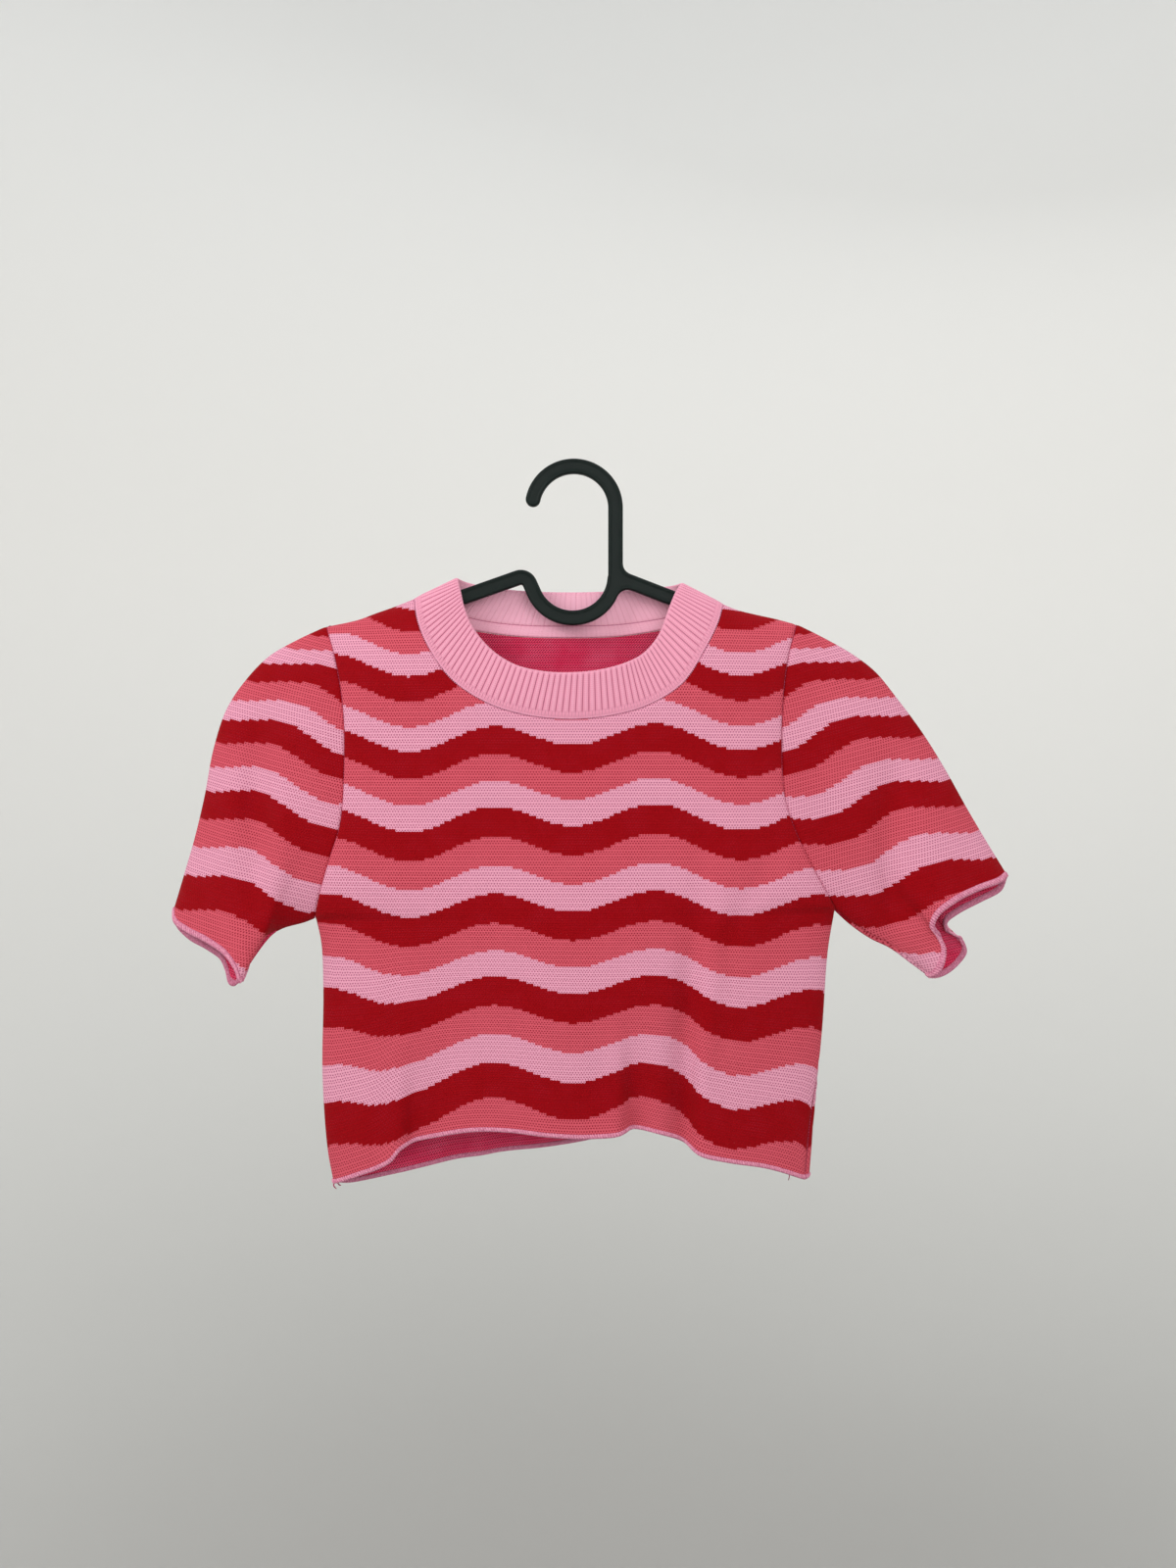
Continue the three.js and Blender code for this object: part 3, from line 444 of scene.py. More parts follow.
def knit_cells(tree):
    """Rows of stitches, each row shifted by half a stitch: the row, the stitch's place along it, the
    places inside the stitch, and the distance from its middle."""
    grain = node(tree, "ShaderNodeAttribute", attribute_name="grain")
    part = node(tree, "ShaderNodeSeparateXYZ", {0: grain.outputs["Vector"]})
    arm = node(tree, "ShaderNodeMath", {0: part, 1: 0.5}, operation="PINGPONG")
    bent = node(tree, "ShaderNodeMath", {0: arm, 1: LOOP_BEND, 2: part.outputs[1]}, operation="MULTIPLY_ADD")
    row = node(tree, "ShaderNodeMath", {0: bent}, operation="FLOOR")
    odd = node(tree, "ShaderNodeMath", {0: row, 1: 2.0}, operation="FLOORED_MODULO")
    shift = node(tree, "ShaderNodeMath", {0: odd, 1: 0.5}, operation="MULTIPLY")
    shifted = node(tree, "ShaderNodeMath", {0: part, 1: shift}, operation="ADD")
    wale = node(tree, "ShaderNodeMath", {0: shifted}, operation="FLOOR")
    place = node(tree, "ShaderNodeMath", {0: wale, 1: shift}, operation="SUBTRACT")
    local_u = node(tree, "ShaderNodeMath", {0: shifted}, operation="FRACT")
    local_v = node(tree, "ShaderNodeMath", {0: bent}, operation="FRACT")
    local = node(tree, "ShaderNodeCombineXYZ", {0: local_u, 1: local_v})
    distance = node(tree, "ShaderNodeVectorMath", {0: local, 1: (0.5, 0.5, 0)}, operation="DISTANCE")
    return {"grain": grain.outputs["Vector"], "u": part, "v": part.outputs[1], "row": row,
            "place": place, "local_u": local_u, "local_v": local_v, "distance": distance.outputs["Value"]}


def jacquard(name, stripes):
    """Face of the jacquard knit in acrylic yarn: matt loops in rows that are shifted by half a stitch,
    each with a dark gap where the yarns behind it show, and stripes whose edges step with the loops."""
    material, tree, shader = yarn_material(name)
    cell = knit_cells(tree)
    turn = 2 * math.pi * STITCH_WIDTH / stripes["wave_length"]
    rows = stripes["wave_height"] / STITCH_HEIGHT
    angle = node(tree, "ShaderNodeMath", {0: cell["place"], 1: turn, 2: -math.pi / 2},
                 operation="MULTIPLY_ADD")
    wave = node(tree, "ShaderNodeMath", {0: angle}, operation="SINE")
    slow_angle = node(tree, "ShaderNodeMath", {0: cell["place"], 1: turn * SLOW_WAVE["turns"],
                                               2: SLOW_WAVE["phase"]}, operation="MULTIPLY_ADD")
    slow = node(tree, "ShaderNodeMath", {0: slow_angle}, operation="SINE")
    slow_wave = node(tree, "ShaderNodeMath", {0: slow, 1: rows * SLOW_WAVE["share"], 2: cell["row"]},
                     operation="MULTIPLY_ADD")
    waved = node(tree, "ShaderNodeMath", {0: wave, 1: rows, 2: slow_wave}, operation="MULTIPLY_ADD")
    length = stripes["end"] - stripes["start"]
    rate = 1 / stripes["first"]
    bend = (1 / stripes["last"] - rate) / 2 / length
    offset = stripes["end_share"] - rate * length - bend * length ** 2
    level = node(tree, "ShaderNodeMath", {0: waved, 1: STITCH_HEIGHT, 2: -stripes["start"]},
                 operation="MULTIPLY_ADD")
    slower = node(tree, "ShaderNodeMath", {0: level, 1: bend, 2: rate}, operation="MULTIPLY_ADD")
    passed = node(tree, "ShaderNodeMath", {0: level, 1: slower, 2: offset}, operation="MULTIPLY_ADD")
    band = node(tree, "ShaderNodeMath", {0: passed}, operation="FRACT")
    face = node(tree, "ShaderNodeValToRGB", {0: band})
    stops(face, [(0.0, linear(PINK)), (0.315, linear(RED)), (0.665, linear(CORAL))])
    gaps = node(tree, "ShaderNodeValToRGB", {0: band})
    stops(gaps, [(0.0, linear(PINK_GAP)[:3] + [0.95]), (0.315, linear(RED_GAP)[:3] + [0.3]),
                 (0.665, linear(CORAL_GAP)[:3] + [0.85])])
    gap = node(tree, "ShaderNodeMapRange", {"Value": cell["distance"], "From Min": 0.14, "From Max": 0.36,
                                            "To Min": 1.0, "To Max": 0.0}, interpolation_type="SMOOTHSTEP")
    uneven = node(tree, "ShaderNodeTexNoise", {"Vector": cell["grain"], "Scale": 0.11, "Detail": 3.0})
    shown = node(tree, "ShaderNodeMath", {0: gaps.outputs["Alpha"], 1: 1.6, 2: uneven.outputs["Fac"]},
                 operation="MULTIPLY_ADD")
    sparse = node(tree, "ShaderNodeMath", {0: shown, 1: 0.9}, operation="SUBTRACT", use_clamp=True)
    amount = node(tree, "ShaderNodeMath", {0: gap, 1: sparse}, operation="MULTIPLY")
    colour = node(tree, "ShaderNodeMix", {0: amount, 6: face, 7: gaps}, data_type="RGBA")
    tree.links.new(colour.outputs[2], shader.inputs["Base Color"])
    bump_knit(tree, shader, cell, gap)
    return material


def bump_knit(tree, shader, cell, gap):
    """Relief of the loops: two slanting strands to a loop, and the gap between the loops."""
    half = node(tree, "ShaderNodeMath", {0: cell["local_u"], 1: 0.5}, operation="SUBTRACT")
    lean = node(tree, "ShaderNodeMath", {0: half}, operation="ABSOLUTE")
    strand = node(tree, "ShaderNodeMath", {0: lean, 1: -1.6, 2: cell["v"]}, operation="MULTIPLY_ADD")
    turned = node(tree, "ShaderNodeMath", {0: strand, 1: 2 * math.pi}, operation="MULTIPLY")
    ridge = node(tree, "ShaderNodeMath", {0: turned}, operation="SINE")
    relief = node(tree, "ShaderNodeMath", {0: ridge, 1: 0.1}, operation="MULTIPLY")
    deep = node(tree, "ShaderNodeMath", {0: relief, 1: gap}, operation="SUBTRACT")
    bump = node(tree, "ShaderNodeBump", {"Height": deep, "Strength": 0.7, "Distance": 0.5 * MM})
    tree.links.new(bump.outputs[0], shader.inputs["Normal"])


def birdseye(name):
    """Back of the jacquard knit in acrylic yarn: the yarns that aren't on the face make a fine
    magenta-red ground, with pink strands in slanting lines and dark holes between them."""
    material, tree, shader = yarn_material(name)
    cell = knit_cells(tree)
    slant = node(tree, "ShaderNodeMath", {0: cell["u"], 1: cell["v"]}, operation="ADD")
    turned = node(tree, "ShaderNodeMath", {0: slant, 1: 2 * math.pi}, operation="MULTIPLY")
    ridge = node(tree, "ShaderNodeMath", {0: turned}, operation="COSINE")
    strand = node(tree, "ShaderNodeMapRange", {"Value": ridge, "From Min": -0.4, "From Max": 0.9})
    uneven = node(tree, "ShaderNodeTexNoise", {"Vector": cell["grain"], "Scale": 0.08, "Detail": 2.0})
    patchy = node(tree, "ShaderNodeMapRange", {"Value": uneven.outputs["Fac"], "From Min": 0.3,
                                               "From Max": 0.7, "To Min": 0.25, "To Max": 0.9})
    amount = node(tree, "ShaderNodeMath", {0: strand, 1: patchy}, operation="MULTIPLY")
    ground = node(tree, "ShaderNodeMix", {0: amount, 6: linear(BACKING), 7: linear(BACKING_LOOP)},
                  data_type="RGBA")
    hole = node(tree, "ShaderNodeMapRange", {"Value": cell["distance"], "From Min": 0.16, "From Max": 0.38,
                                             "To Min": 0.85, "To Max": 0.0}, interpolation_type="SMOOTHSTEP")
    colour = node(tree, "ShaderNodeMix", {0: hole, 6: ground.outputs[2], 7: linear(BACKING_HOLE)},
                  data_type="RGBA")
    tree.links.new(colour.outputs[2], shader.inputs["Base Color"])
    bump_knit(tree, shader, cell, hole)
    return material


# Tufts of fibre per metre of yarn
FIBRE_TUFTS = 900.0


def plain_knit(name, colour, gap_colour):
    """Plain knit in one acrylic yarn: matt upright loops with soft dark lines between them."""
    material, tree, shader = yarn_material(name)
    place = node(tree, "ShaderNodeTexCoord")
    fibres = node(tree, "ShaderNodeTexNoise", {"Vector": place.outputs["Object"], "Scale": FIBRE_TUFTS,
                                               "Detail": 3.0})
    shade = node(tree, "ShaderNodeMapRange", {"Value": fibres, "From Min": 0.35, "From Max": 0.7})
    tone = node(tree, "ShaderNodeMix", {0: shade, 6: linear(gap_colour), 7: linear(colour)},
                data_type="RGBA")
    tree.links.new(tone.outputs[2], shader.inputs["Base Color"])
    bump = node(tree, "ShaderNodeBump", {"Height": fibres, "Strength": 0.4, "Distance": 0.3 * MM})
    tree.links.new(bump.outputs[0], shader.inputs["Normal"])
    return material


knit_face = jacquard("jacquard_knit_acrylic_body", BODY_STRIPES)
knit_back = birdseye("jacquard_knit_acrylic_back")
pink_knit = plain_knit("plain_knit_pink_acrylic", "#F4AEC5", "#D07C98")
cloth_materials = [knit_face, knit_back, pink_knit]

# The face dips at the seams. The rows of knitting are level at LEVEL_ROW and follow the hem below
# it, softly at first and exactly in the last rows.
SEAM_DIP = 0.8
SEAM_DIP_WIDTH = 1.5
CORNER_DEPTH = 0.3
LEVEL_ROW = -300
LAST_ROWS = 16
SOFT_COLUMNS = 16


def panel_shell(name, panel, points, other):
    """A panel's wall, with its face drawn in at the seams. The other panel meets it at the sides."""
    sign = panel["sign"]
    towards = np.array([0, sign, 0.0])
    through = normals(points, False) * sign
    into = np.zeros_like(points)
    through[0, 1:-1] = unit(np.cross(points[0, 2:] - points[0, :-2], towards)) * sign
    into[0] = towards
    for column, beside, outward in ((0, 1, 1), (-1, -2, -1)):
        below = np.vstack([points[2:, column], points[-1:, column]]) - points[:-1, column]
        over = unit(other[:, beside] - points[:, beside])
        through[1:, column] = unit(np.cross(below, over[1:])) * sign * outward
        into[:, column] = over
    count = 2 * NECK_COLUMNS
    place = np.arange(NECK_COLUMNS + 1)
    place = place if sign < 0 else (count - place) % count
    neck = slice(SHOULDER_COLUMNS, SHOULDER_COLUMNS + NECK_COLUMNS + 1)
    through[0, neck], into[0, neck] = neck_seam["through"][place], -neck_seam["over"][place]
    for column, side in ((0, -1), (-1, 1)):
        loop = armholes[side]
        place = np.arange(ARMHOLE_ROWS + 1)
        place = place if sign < 0 else (2 * ARMHOLE_ROWS - place) % (2 * ARMHOLE_ROWS)
        through[:ARMHOLE_ROWS + 1, column] = loop["through"][place]
        into[:ARMHOLE_ROWS + 1, column] = -loop["over"][place]
    on_seam = np.linalg.norm(into, axis=-1) > 0
    corner = on_seam & (np.abs(points[..., 1]) < CORNER_DEPTH)
    into[..., 1] = np.where(corner, sign, into[..., 1])
    middle = points + into * SEAM_GAP / 2
    down = np.vstack([np.zeros(points.shape[1]), np.cumsum(steps(points, [0, 1, 2]), axis=0)])
    across = np.swapaxes(points, 0, 1)
    from_left = np.vstack([np.zeros(points.shape[0]), np.cumsum(steps(across, [0, 1, 2]), axis=0)]).T
    from_seam = np.minimum(np.minimum(from_left, from_left[:, -1:] - from_left), down)
    dip = SEAM_DIP * np.exp(-(from_seam / SEAM_DIP_WIDTH) ** 2)
    outer = middle + through * (CLOTH / 2 - dip)[..., None]
    inner = middle - through * CLOTH / 2
    width = np.vstack([np.zeros(points.shape[0]), np.cumsum(steps(across, [0, 1]), axis=0)]).T
    centre = np.array([np.interp(0, row[:, 0], w) for row, w in zip(points, width)])
    u = (width - centre[:, None]) / STITCH_WIDTH
    height = np.vstack([np.zeros(points.shape[1]), np.cumsum(steps(points, [1, 2]), axis=0)])
    height = height - [np.interp(-LEVEL_ROW, -z, h) for z, h in zip(points[..., 2].T, height.T)] - LEVEL_ROW
    missing = BODY_STRIPES["end"] - height[-1]
    window = np.exp(-(np.arange(-SOFT_COLUMNS, SOFT_COLUMNS + 1) / SOFT_COLUMNS * 2) ** 2)
    soft = np.convolve(np.pad(missing, SOFT_COLUMNS, mode="edge"), window / window.sum(), mode="valid")
    follow = smooth((LEVEL_ROW - points[..., 2]) / (LEVEL_ROW - points[-1, :, 2]))
    last = smooth(1 - (height[-1] - height) / LAST_ROWS)
    v = (height + soft * follow + (missing - soft) * last) / STITCH_HEIGHT
    grain = np.stack([u, v, np.zeros_like(u)], axis=-1)
    return cloth_shell(name, outer, inner, grain, False, cloth_materials)


front = panel_shell("front_cloth", FRONT, front_points, back_points)
back = panel_shell("back_cloth", BACK, back_points, front_points)
for cloth, solid in ((front, "front_panel"), (back, "back_panel")):
    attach(cloth, "root")
    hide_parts(solid)

# Sleeves: one piece of the same jacquard knit each, closed by a seam under the arm and set into the
# armhole with a raised cap. They hang flat, with a trough down the front and a crumpled cuff.

SLEEVE_ROWS = 110
SLEEVE_LEAN = 15

# The sharp turns of a cuff stay close to it, and the folds end near it. Behind, the creases are the
# other way round and lower.
PINCH_COLUMNS = 14
PINCH_FADE = 9
FOLD_RUN = 60
FOLD_HOLD = 0.9
CREASE_BEHIND = -0.7

# Each sleeve's top fold, seam line under the arm and cuff, in front and behind, as points from the
# armhole or the top down. The trough down its front: x, top, width, depth. Creases as on the body.
LEFT_SLEEVE = {
    "side": -1,
    "top": [(-180.7, 0, -112.7), (-202.3, 0, -122.8), (-223.5, 1, -134.9), (-241.8, 2, -153.5),
            (-254.8, 2, -173.8), (-264.2, 2, -202.6), (-270.6, 2, -236.5), (-277.9, 2, -267.6),
            (-285.8, 2, -295), (-294.1, 3, -321.8)],
    "under": [(-188.6, 0, -325.1), (-198, 1, -328.8), (-209.1, 2, -331.8), (-221.6, 3, -335.4),
              (-233, 3, -339)],
    "cuff_front": [(-294.1, 3, -321.8), (-291.5, -3, -329), (-279.9, -9, -335.5), (-264.4, -15, -341.8),
                   (-250.1, -20, -350.3), (-241.9, -24, -360.2), (-238.6, -24, -369.4), (-237, -19, -364),
                   (-236.2, -12, -354), (-235.4, -4, -345), (-233, 3, -339)],
    "cuff_back": [(-294.1, 3, -321.8), (-294.4, 9, -332.7), (-285.4, 10, -342.5), (-271, 6, -349.4),
                  (-259, 1, -356.4), (-253.5, -4, -364.4), (-249.8, -8, -372.8), (-245.2, -9, -373.6),
                  (-241, -5, -363.4), (-238, 2, -350), (-233, 3, -339)],
    "fold": (-231, -150, 13, 7),
    "creases": [(-222, -250, 0.1, 60, 7, 1.2), (-250, -260, 0.15, 60, 9, -1.2),
                (-205, -300, 0.6, 30, 9, 1.2)],
}
RIGHT_SLEEVE = {
    "side": 1,
    "top": [(163.4, 0, -111.2), (183.6, 0, -121.3), (203.8, 0, -132.8), (221, 0, -145.8),
            (236.9, 0, -165.2), (255.6, 0, -190.4), (272.2, 0, -217.1), (288.7, 0, -246.6),
            (303.1, 0, -271.1), (318.2, 0, -295.6)],
    "under": [(191.5, 0, -319.3), (204.7, 3, -331), (219.6, 4, -341.2), (233.8, 4, -348.1),
              (248.9, 2, -359.2), (261.8, 0, -368.8)],
    "cuff_front": [(318.2, 0, -295.6), (311.7, -6, -299), (295.5, -11, -304), (276.7, -15, -312.3),
                   (263.7, -15, -322.8), (261.4, -12, -331.8), (267.6, -8, -339.7), (271, -6, -348.3),
                   (269.7, -7, -358.4), (266, -5, -366), (261.8, 0, -368.8)],
    "cuff_back": [(318.2, 0, -295.6), (315.6, 5, -305.9), (300.5, 7, -314.8), (285.1, 7, -322.9),
                  (277, 9, -330.2), (279.2, 12, -337.8), (289.8, 13, -345), (293.4, 16, -353.2),
                  (286.5, 16, -363.2), (273.4, 9, -369.8), (261.8, 0, -368.8)],
    "fold": (234, -180, 13, 6),
    "creases": [(228, -280, -0.2, 55, 7, 1.4), (253, -300, -0.4, 45, 10, 3.2),
                (205, -290, -0.7, 40, 9, 1.2)],
}


def sleeve_points(sleeve):
    """Rings from the armhole to the cuff, each from the top fold round the front and under the arm."""
    armhole = armholes[sleeve["side"]]["points"]
    count = len(armhole)
    i = np.arange(count)
    behind = i > ARMHOLE_ROWS
    u = np.where(behind, count - i, i) / ARMHOLE_ROWS
    v = np.linspace(0, 1, SLEEVE_ROWS + 1)[:, None, None]
    cuffs = [along_line(spline(sleeve[key]), u) for key in ("cuff_front", "cuff_back")]
    cuff = np.where(behind[:, None], cuffs[1], cuffs[0])
    window = np.exp(-(np.arange(-PINCH_COLUMNS, PINCH_COLUMNS + 1) / PINCH_COLUMNS * 2) ** 2)
    around = np.vstack([cuff[-PINCH_COLUMNS:], cuff, cuff[:PINCH_COLUMNS]])
    eased = np.column_stack([np.convolve(axis, window / window.sum(), mode="valid") for axis in around.T])
    eased = cuff + (eased - cuff) * smooth(3 * np.sin(np.pi * u))[:, None]
    points = armhole * (1 - v) + (eased + (cuff - eased) * v ** PINCH_FADE) * v
    for key, share in (("top", 1 - u), ("under", u)):
        line = spline(sleeve[key])
        moved = along_line(line, v[:, 0, 0])[:, None] - line[0] * (1 - v) - line[-1] * v
        points = points + moved * share[:, None]
    x, z = points[..., 0], points[..., 2]
    fold_x, fold_top, width, depth = sleeve["fold"]
    round_arm, down = np.sin(np.pi * u), np.sin(np.pi * np.minimum(v[..., 0], FOLD_HOLD))
    trough = depth * smooth((fold_top - z) / FOLD_RUN) * np.exp(-((x - fold_x) / width) ** 2)
    creases = crease_depth(sleeve["creases"], x, z) * np.where(behind, CREASE_BEHIND, 1) * round_arm ** 0.5
    points[..., 1] += (trough * np.where(behind, 0, round_arm) + creases) * down
    return points


def sleeve_grain(sleeve, points):
    """Rows of knitting straight across the sleeve, and the length along each row from the fold at
    the top of the sleeve."""
    lean = math.radians(SLEEVE_LEAN)
    falling = (points - points[0, 0]) @ np.array([sleeve["side"] * math.sin(lean), 0, -math.cos(lean)])
    level = np.maximum.accumulate(falling, axis=0)
    around = np.zeros_like(level)
    count = points.shape[1]
    for order in (range(1, ARMHOLE_ROWS + 1), range(count - 1, ARMHOLE_ROWS, -1)):
        last = 0
        for column in order:
            here, before = level[:, column], level[:, last]
            crossing = np.column_stack([np.interp(here, before, axis) for axis in points[:, last].T])
            step = np.linalg.norm(points[:, column] - crossing, axis=1)
            around[:, column] = np.interp(here, before, around[:, last]) + step
            last = column
    return np.stack([around / STITCH_WIDTH, level / STITCH_HEIGHT, np.zeros_like(level)], axis=-1)


def sleeve_shell(name, sleeve, points):
    side = sleeve["side"]
    loop = armholes[side]
    through = normals(points, True) * side
    through[0] = loop["through"]
    middle = points.copy()
    middle[0] += loop["over"] * SEAM_GAP / 2
    down = np.vstack([np.zeros(points.shape[1]), np.cumsum(steps(points, [0, 1, 2]), axis=0)])
    dip = SEAM_DIP * np.exp(-(down / SEAM_DIP_WIDTH) ** 2)
    outer = middle + through * (CLOTH / 2 - dip)[..., None]
    inner = middle - through * CLOTH / 2
    return cloth_shell(name, outer, inner, sleeve_grain(sleeve, points), True, sleeve_materials)


SLEEVE_STRIPES = {"start": 0, "end": 245, "first": 42, "last": 84, "end_share": 0.93,
                  "wave_length": 96, "wave_height": 5}
sleeve_materials = [jacquard("jacquard_knit_acrylic_sleeves", SLEEVE_STRIPES), knit_back, pink_knit]
left_points, right_points = sleeve_points(LEFT_SLEEVE), sleeve_points(RIGHT_SLEEVE)
left_cloth = sleeve_shell("left_sleeve_cloth", LEFT_SLEEVE, left_points)
right_cloth = sleeve_shell("right_sleeve_cloth", RIGHT_SLEEVE, right_points)
for cloth, solid in ((left_cloth, "sleeve_left"), (right_cloth, "sleeve_right")):
    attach(cloth, "root")
    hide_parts(solid)

# Neckband: a strip of rib knit in pink acrylic, about 35 mm wide and doubled at its rim. Its foot is
# linked to the neck edge, where a narrow plain strip runs below the ends of the ribs.

RIB_RAISE = 0.8
BAND_LIFT = 0.25
BAND_SAMPLES = 20
RIBS = {"front": 72, "back": 48}
INNER_RIBS = {"front": 84, "back": 68}
GROOVE = 0.085
RIB_PITCH = 3.8
RIB_STITCH = {"wide": 1.9, "tall": 1.5}

# Section of the band from its foot over the rim and back inside: share of the height, millimetres
# added to that, offset from the middle, and how strong the ribs, the fine stitches and the painted
# shade are (the painted shade darkens the linking line and the grooves; below 0 is painted light that
# makes the inside paler)
BAND_SECTION = [
    (0, 0.0, 0.45, 0, 0, 0.8), (0, 0.35, 0.9, 0, 0.1, 0), (0, 1.1, 0.95, 0, 0.2, 0),
    (0, 1.5, 0.75, 0, 0.6, 0.15), (0, 2.8, 0.72, 0, 0.8, 0), (0, 4.2, 0.75, 0, 0.8, 0),
    (0, 5.0, 0.72, 0.6, 0.2, 0.15), (0, 5.8, 0.75, 1, 0, 0), (0.4, 1.0, 0.8, 1, 0, 0),
    (0.6, 0.5, 0.8, 1, 0, 0), (0.8, 0, 0.8, 1, 0, 0), (1, -2.2, 0.8, 1, 0, 0),
    (1, -1.3, 0.95, 0.7, 0, 0), (1, -0.4, 0.85, 0.35, 0, 0), (1, 0.3, 0.2, 0.25, 0, 0),
    (1, 0.1, -0.5, 0.2, 0, 0), (1, -0.8, -0.75, 0.3, 0, -0.3), (1, -2.2, -0.75, 0.3, 0, -0.5),
    (0.7, 0, -0.75, 0.3, 0, -0.5), (0.45, 0, -0.75, 0.3, 0, -0.5), (0, 10.5, -0.75, 0.3, 0, -0.5),
    (0, 9.4, -0.75, 0.15, 0, -0.3), (0, 8.8, -0.4, 0, 0, 0.8), (0, 8.2, -0.75, 0, 0.1, -0.3),
    (0, 4.5, -0.8, 0, 0.15, -0.5), (0, 1.6, -0.8, 0, 0.1, -0.3), (0, 0.8, -1.15, 0, 0, 0),
    (0, 0.0, -0.7, 0, 0, 0.6),
]


def band_mesh():
    """The smooth band, with the ribs' places and heights stored on its points for the rib tree."""
    section = np.array(BAND_SECTION)
    rows, phases, grain = [], [], []
    travelled = 0
    for half, key in enumerate(("front", "back")):
        count = RIBS[key] * BAND_SAMPLES
        place = np.arange(count) / count
        step = (half + place) * NECK_COLUMNS
        near = np.floor(step).astype(int)
        t = (step - near)[:, None]
        after = (near + 1) % (2 * NECK_COLUMNS)
        over, through, foot = (neck_seam[what][near] * (1 - t) + neck_seam[what][after] * t
                               for what in ("over", "through", "points"))
        over, through = unit(over), unit(through)
        foot = foot + over * BAND_LIFT
        rim = along_line(spline((RIM_FRONT, RIM_BACK)[half]), 1 - place if half else place)
        height = np.linalg.norm(rim - foot, axis=1)[:, None]
        up = (rim - foot) / height
        rise = section[:, 0] * height + section[:, 1]
        rows.append(foot[:, None] + up[:, None] * rise[..., None] + through[:, None] * section[:, 2, None])
        outside = np.arange(len(section)) < len(section) // 2
        phases.append(np.where(outside, place[:, None] * RIBS[key], place[:, None] * INNER_RIBS[key]))
        along = travelled + place * RIBS[key]
        grain.append(np.stack(np.broadcast_arrays(along[:, None] * RIB_PITCH, rise, 0), axis=-1))
        travelled += RIBS[key]
    points, phases, grain = np.vstack(rows), np.vstack(phases), np.vstack(grain)
    across = len(points)
    faces = ring_faces(across, len(section), closed=True)
    made = mesh_object("neckband_smooth", points.reshape(-1, 3), faces, grain.reshape(-1, 3), sharp=180)
    stored = {"rib_phase": phases.ravel()}
    for column, name in ((3, "rib_height"), (4, "stitch_height"), (5, "shade")):
        stored[name] = np.tile(section[:, column], across)
    for name, values in stored.items():
        made.data.attributes.new(name, "FLOAT", "POINT").data.foreach_set("value", values.astype(np.float32))
    return made


def new_tree(name, sockets):
    """A geometry tree with named inputs. Returns the tree, its input node and each input's identifier."""
    tree = bpy.data.node_groups.new(name, "GeometryNodeTree")
    tree.interface.new_socket("Geometry", in_out="OUTPUT", socket_type="NodeSocketGeometry")
    tree.interface.new_socket("Geometry", in_out="INPUT", socket_type="NodeSocketGeometry")
    names = {}
    for label, kind in sockets:
        names[label] = tree.interface.new_socket(label, in_out="INPUT", socket_type=kind).identifier
    return tree, tree.nodes.new("NodeGroupInput"), names


def finish_tree(tree, source, geometry):
    """Ends a tree in real geometry with its material set."""
    real = node(tree, "GeometryNodeRealizeInstances", {0: geometry})
    finished = node(tree, "GeometryNodeSetMaterial", {0: real, "Material": source.outputs["Material"]})
    output = tree.nodes.new("NodeGroupOutput")
    tree.links.new(finished.outputs[0], output.inputs[0])


def apply_tree(carrier, tree, names, values, piece_name):
    """Runs a tree on an object and returns the result as a plain mesh object."""
    modifier = carrier.modifiers.new(tree.name, "NODES")
    modifier.node_group = tree
    for label, value in values.items():
        modifier[names[label]] = value
    evaluated = carrier.evaluated_get(bpy.context.evaluated_depsgraph_get())
    mesh = bpy.data.meshes.new_from_object(evaluated)
    carrier.modifiers.remove(modifier)
    bpy.data.objects.remove(carrier)
    mesh.name = piece_name
    made = bpy.data.objects.new(piece_name, mesh)
    bpy.context.collection.objects.link(made)
    return made


def rib_tree():
    """Raises ribs along a band, and two fine stitches to each rib on its foot. The grooves between
    them are stored, with the section's shade, as painted shade and light for the colour."""
    tree, source, names = new_tree("raised_ribs", [
        ("Raise", "NodeSocketFloat"), ("Groove", "NodeSocketFloat"), ("Material", "NodeSocketMaterial")])

    def stored(name):
        return node(tree, "GeometryNodeInputNamedAttribute", {"Name": name}, data_type="FLOAT")

    def groove(phase):
        place = node(tree, "ShaderNodeMath", {0: phase, 1: 0.5}, operation="PINGPONG")
        ratio = node(tree, "ShaderNodeMath", {0: place, 1: source.outputs["Groove"]}, operation="DIVIDE")
        square = node(tree, "ShaderNodeMath", {0: ratio, 1: 2.0}, operation="POWER")
        minus = node(tree, "ShaderNodeMath", {0: square, 1: -1.0}, operation="MULTIPLY")
        return node(tree, "ShaderNodeMath", {0: minus}, operation="EXPONENT")

    phase = stored("rib_phase")
    double = node(tree, "ShaderNodeMath", {0: phase, 1: 2.0}, operation="MULTIPLY")
    raised, painted_shade = None, stored("shade")
    for grooves, height in ((groove(phase), stored("rib_height")), (groove(double), stored("stitch_height"))):
        rib = node(tree, "ShaderNodeMath", {0: 1.0, 1: grooves}, operation="SUBTRACT")
        inputs = {0: rib, 1: height} if raised is None else {0: rib, 1: height, 2: raised}
        raised = node(tree, "ShaderNodeMath", inputs,
                      operation="MULTIPLY" if raised is None else "MULTIPLY_ADD")
        painted_shade = node(tree, "ShaderNodeMath", {0: grooves, 1: height, 2: painted_shade}, operation="MULTIPLY_ADD")
    full = node(tree, "ShaderNodeMath", {0: raised, 1: source.outputs["Raise"]}, operation="MULTIPLY")
    normal = node(tree, "GeometryNodeInputNormal")
    offset = node(tree, "ShaderNodeVectorMath", {0: normal, "Scale": full}, operation="SCALE")
    marked = node(tree, "GeometryNodeStoreNamedAttribute", {0: source, "Name": "groove",
                                                            "Value": painted_shade}, data_type="FLOAT")
    moved = node(tree, "GeometryNodeSetPosition", {0: marked, "Offset": offset})
    finish_tree(tree, source, moved)
    return tree, names


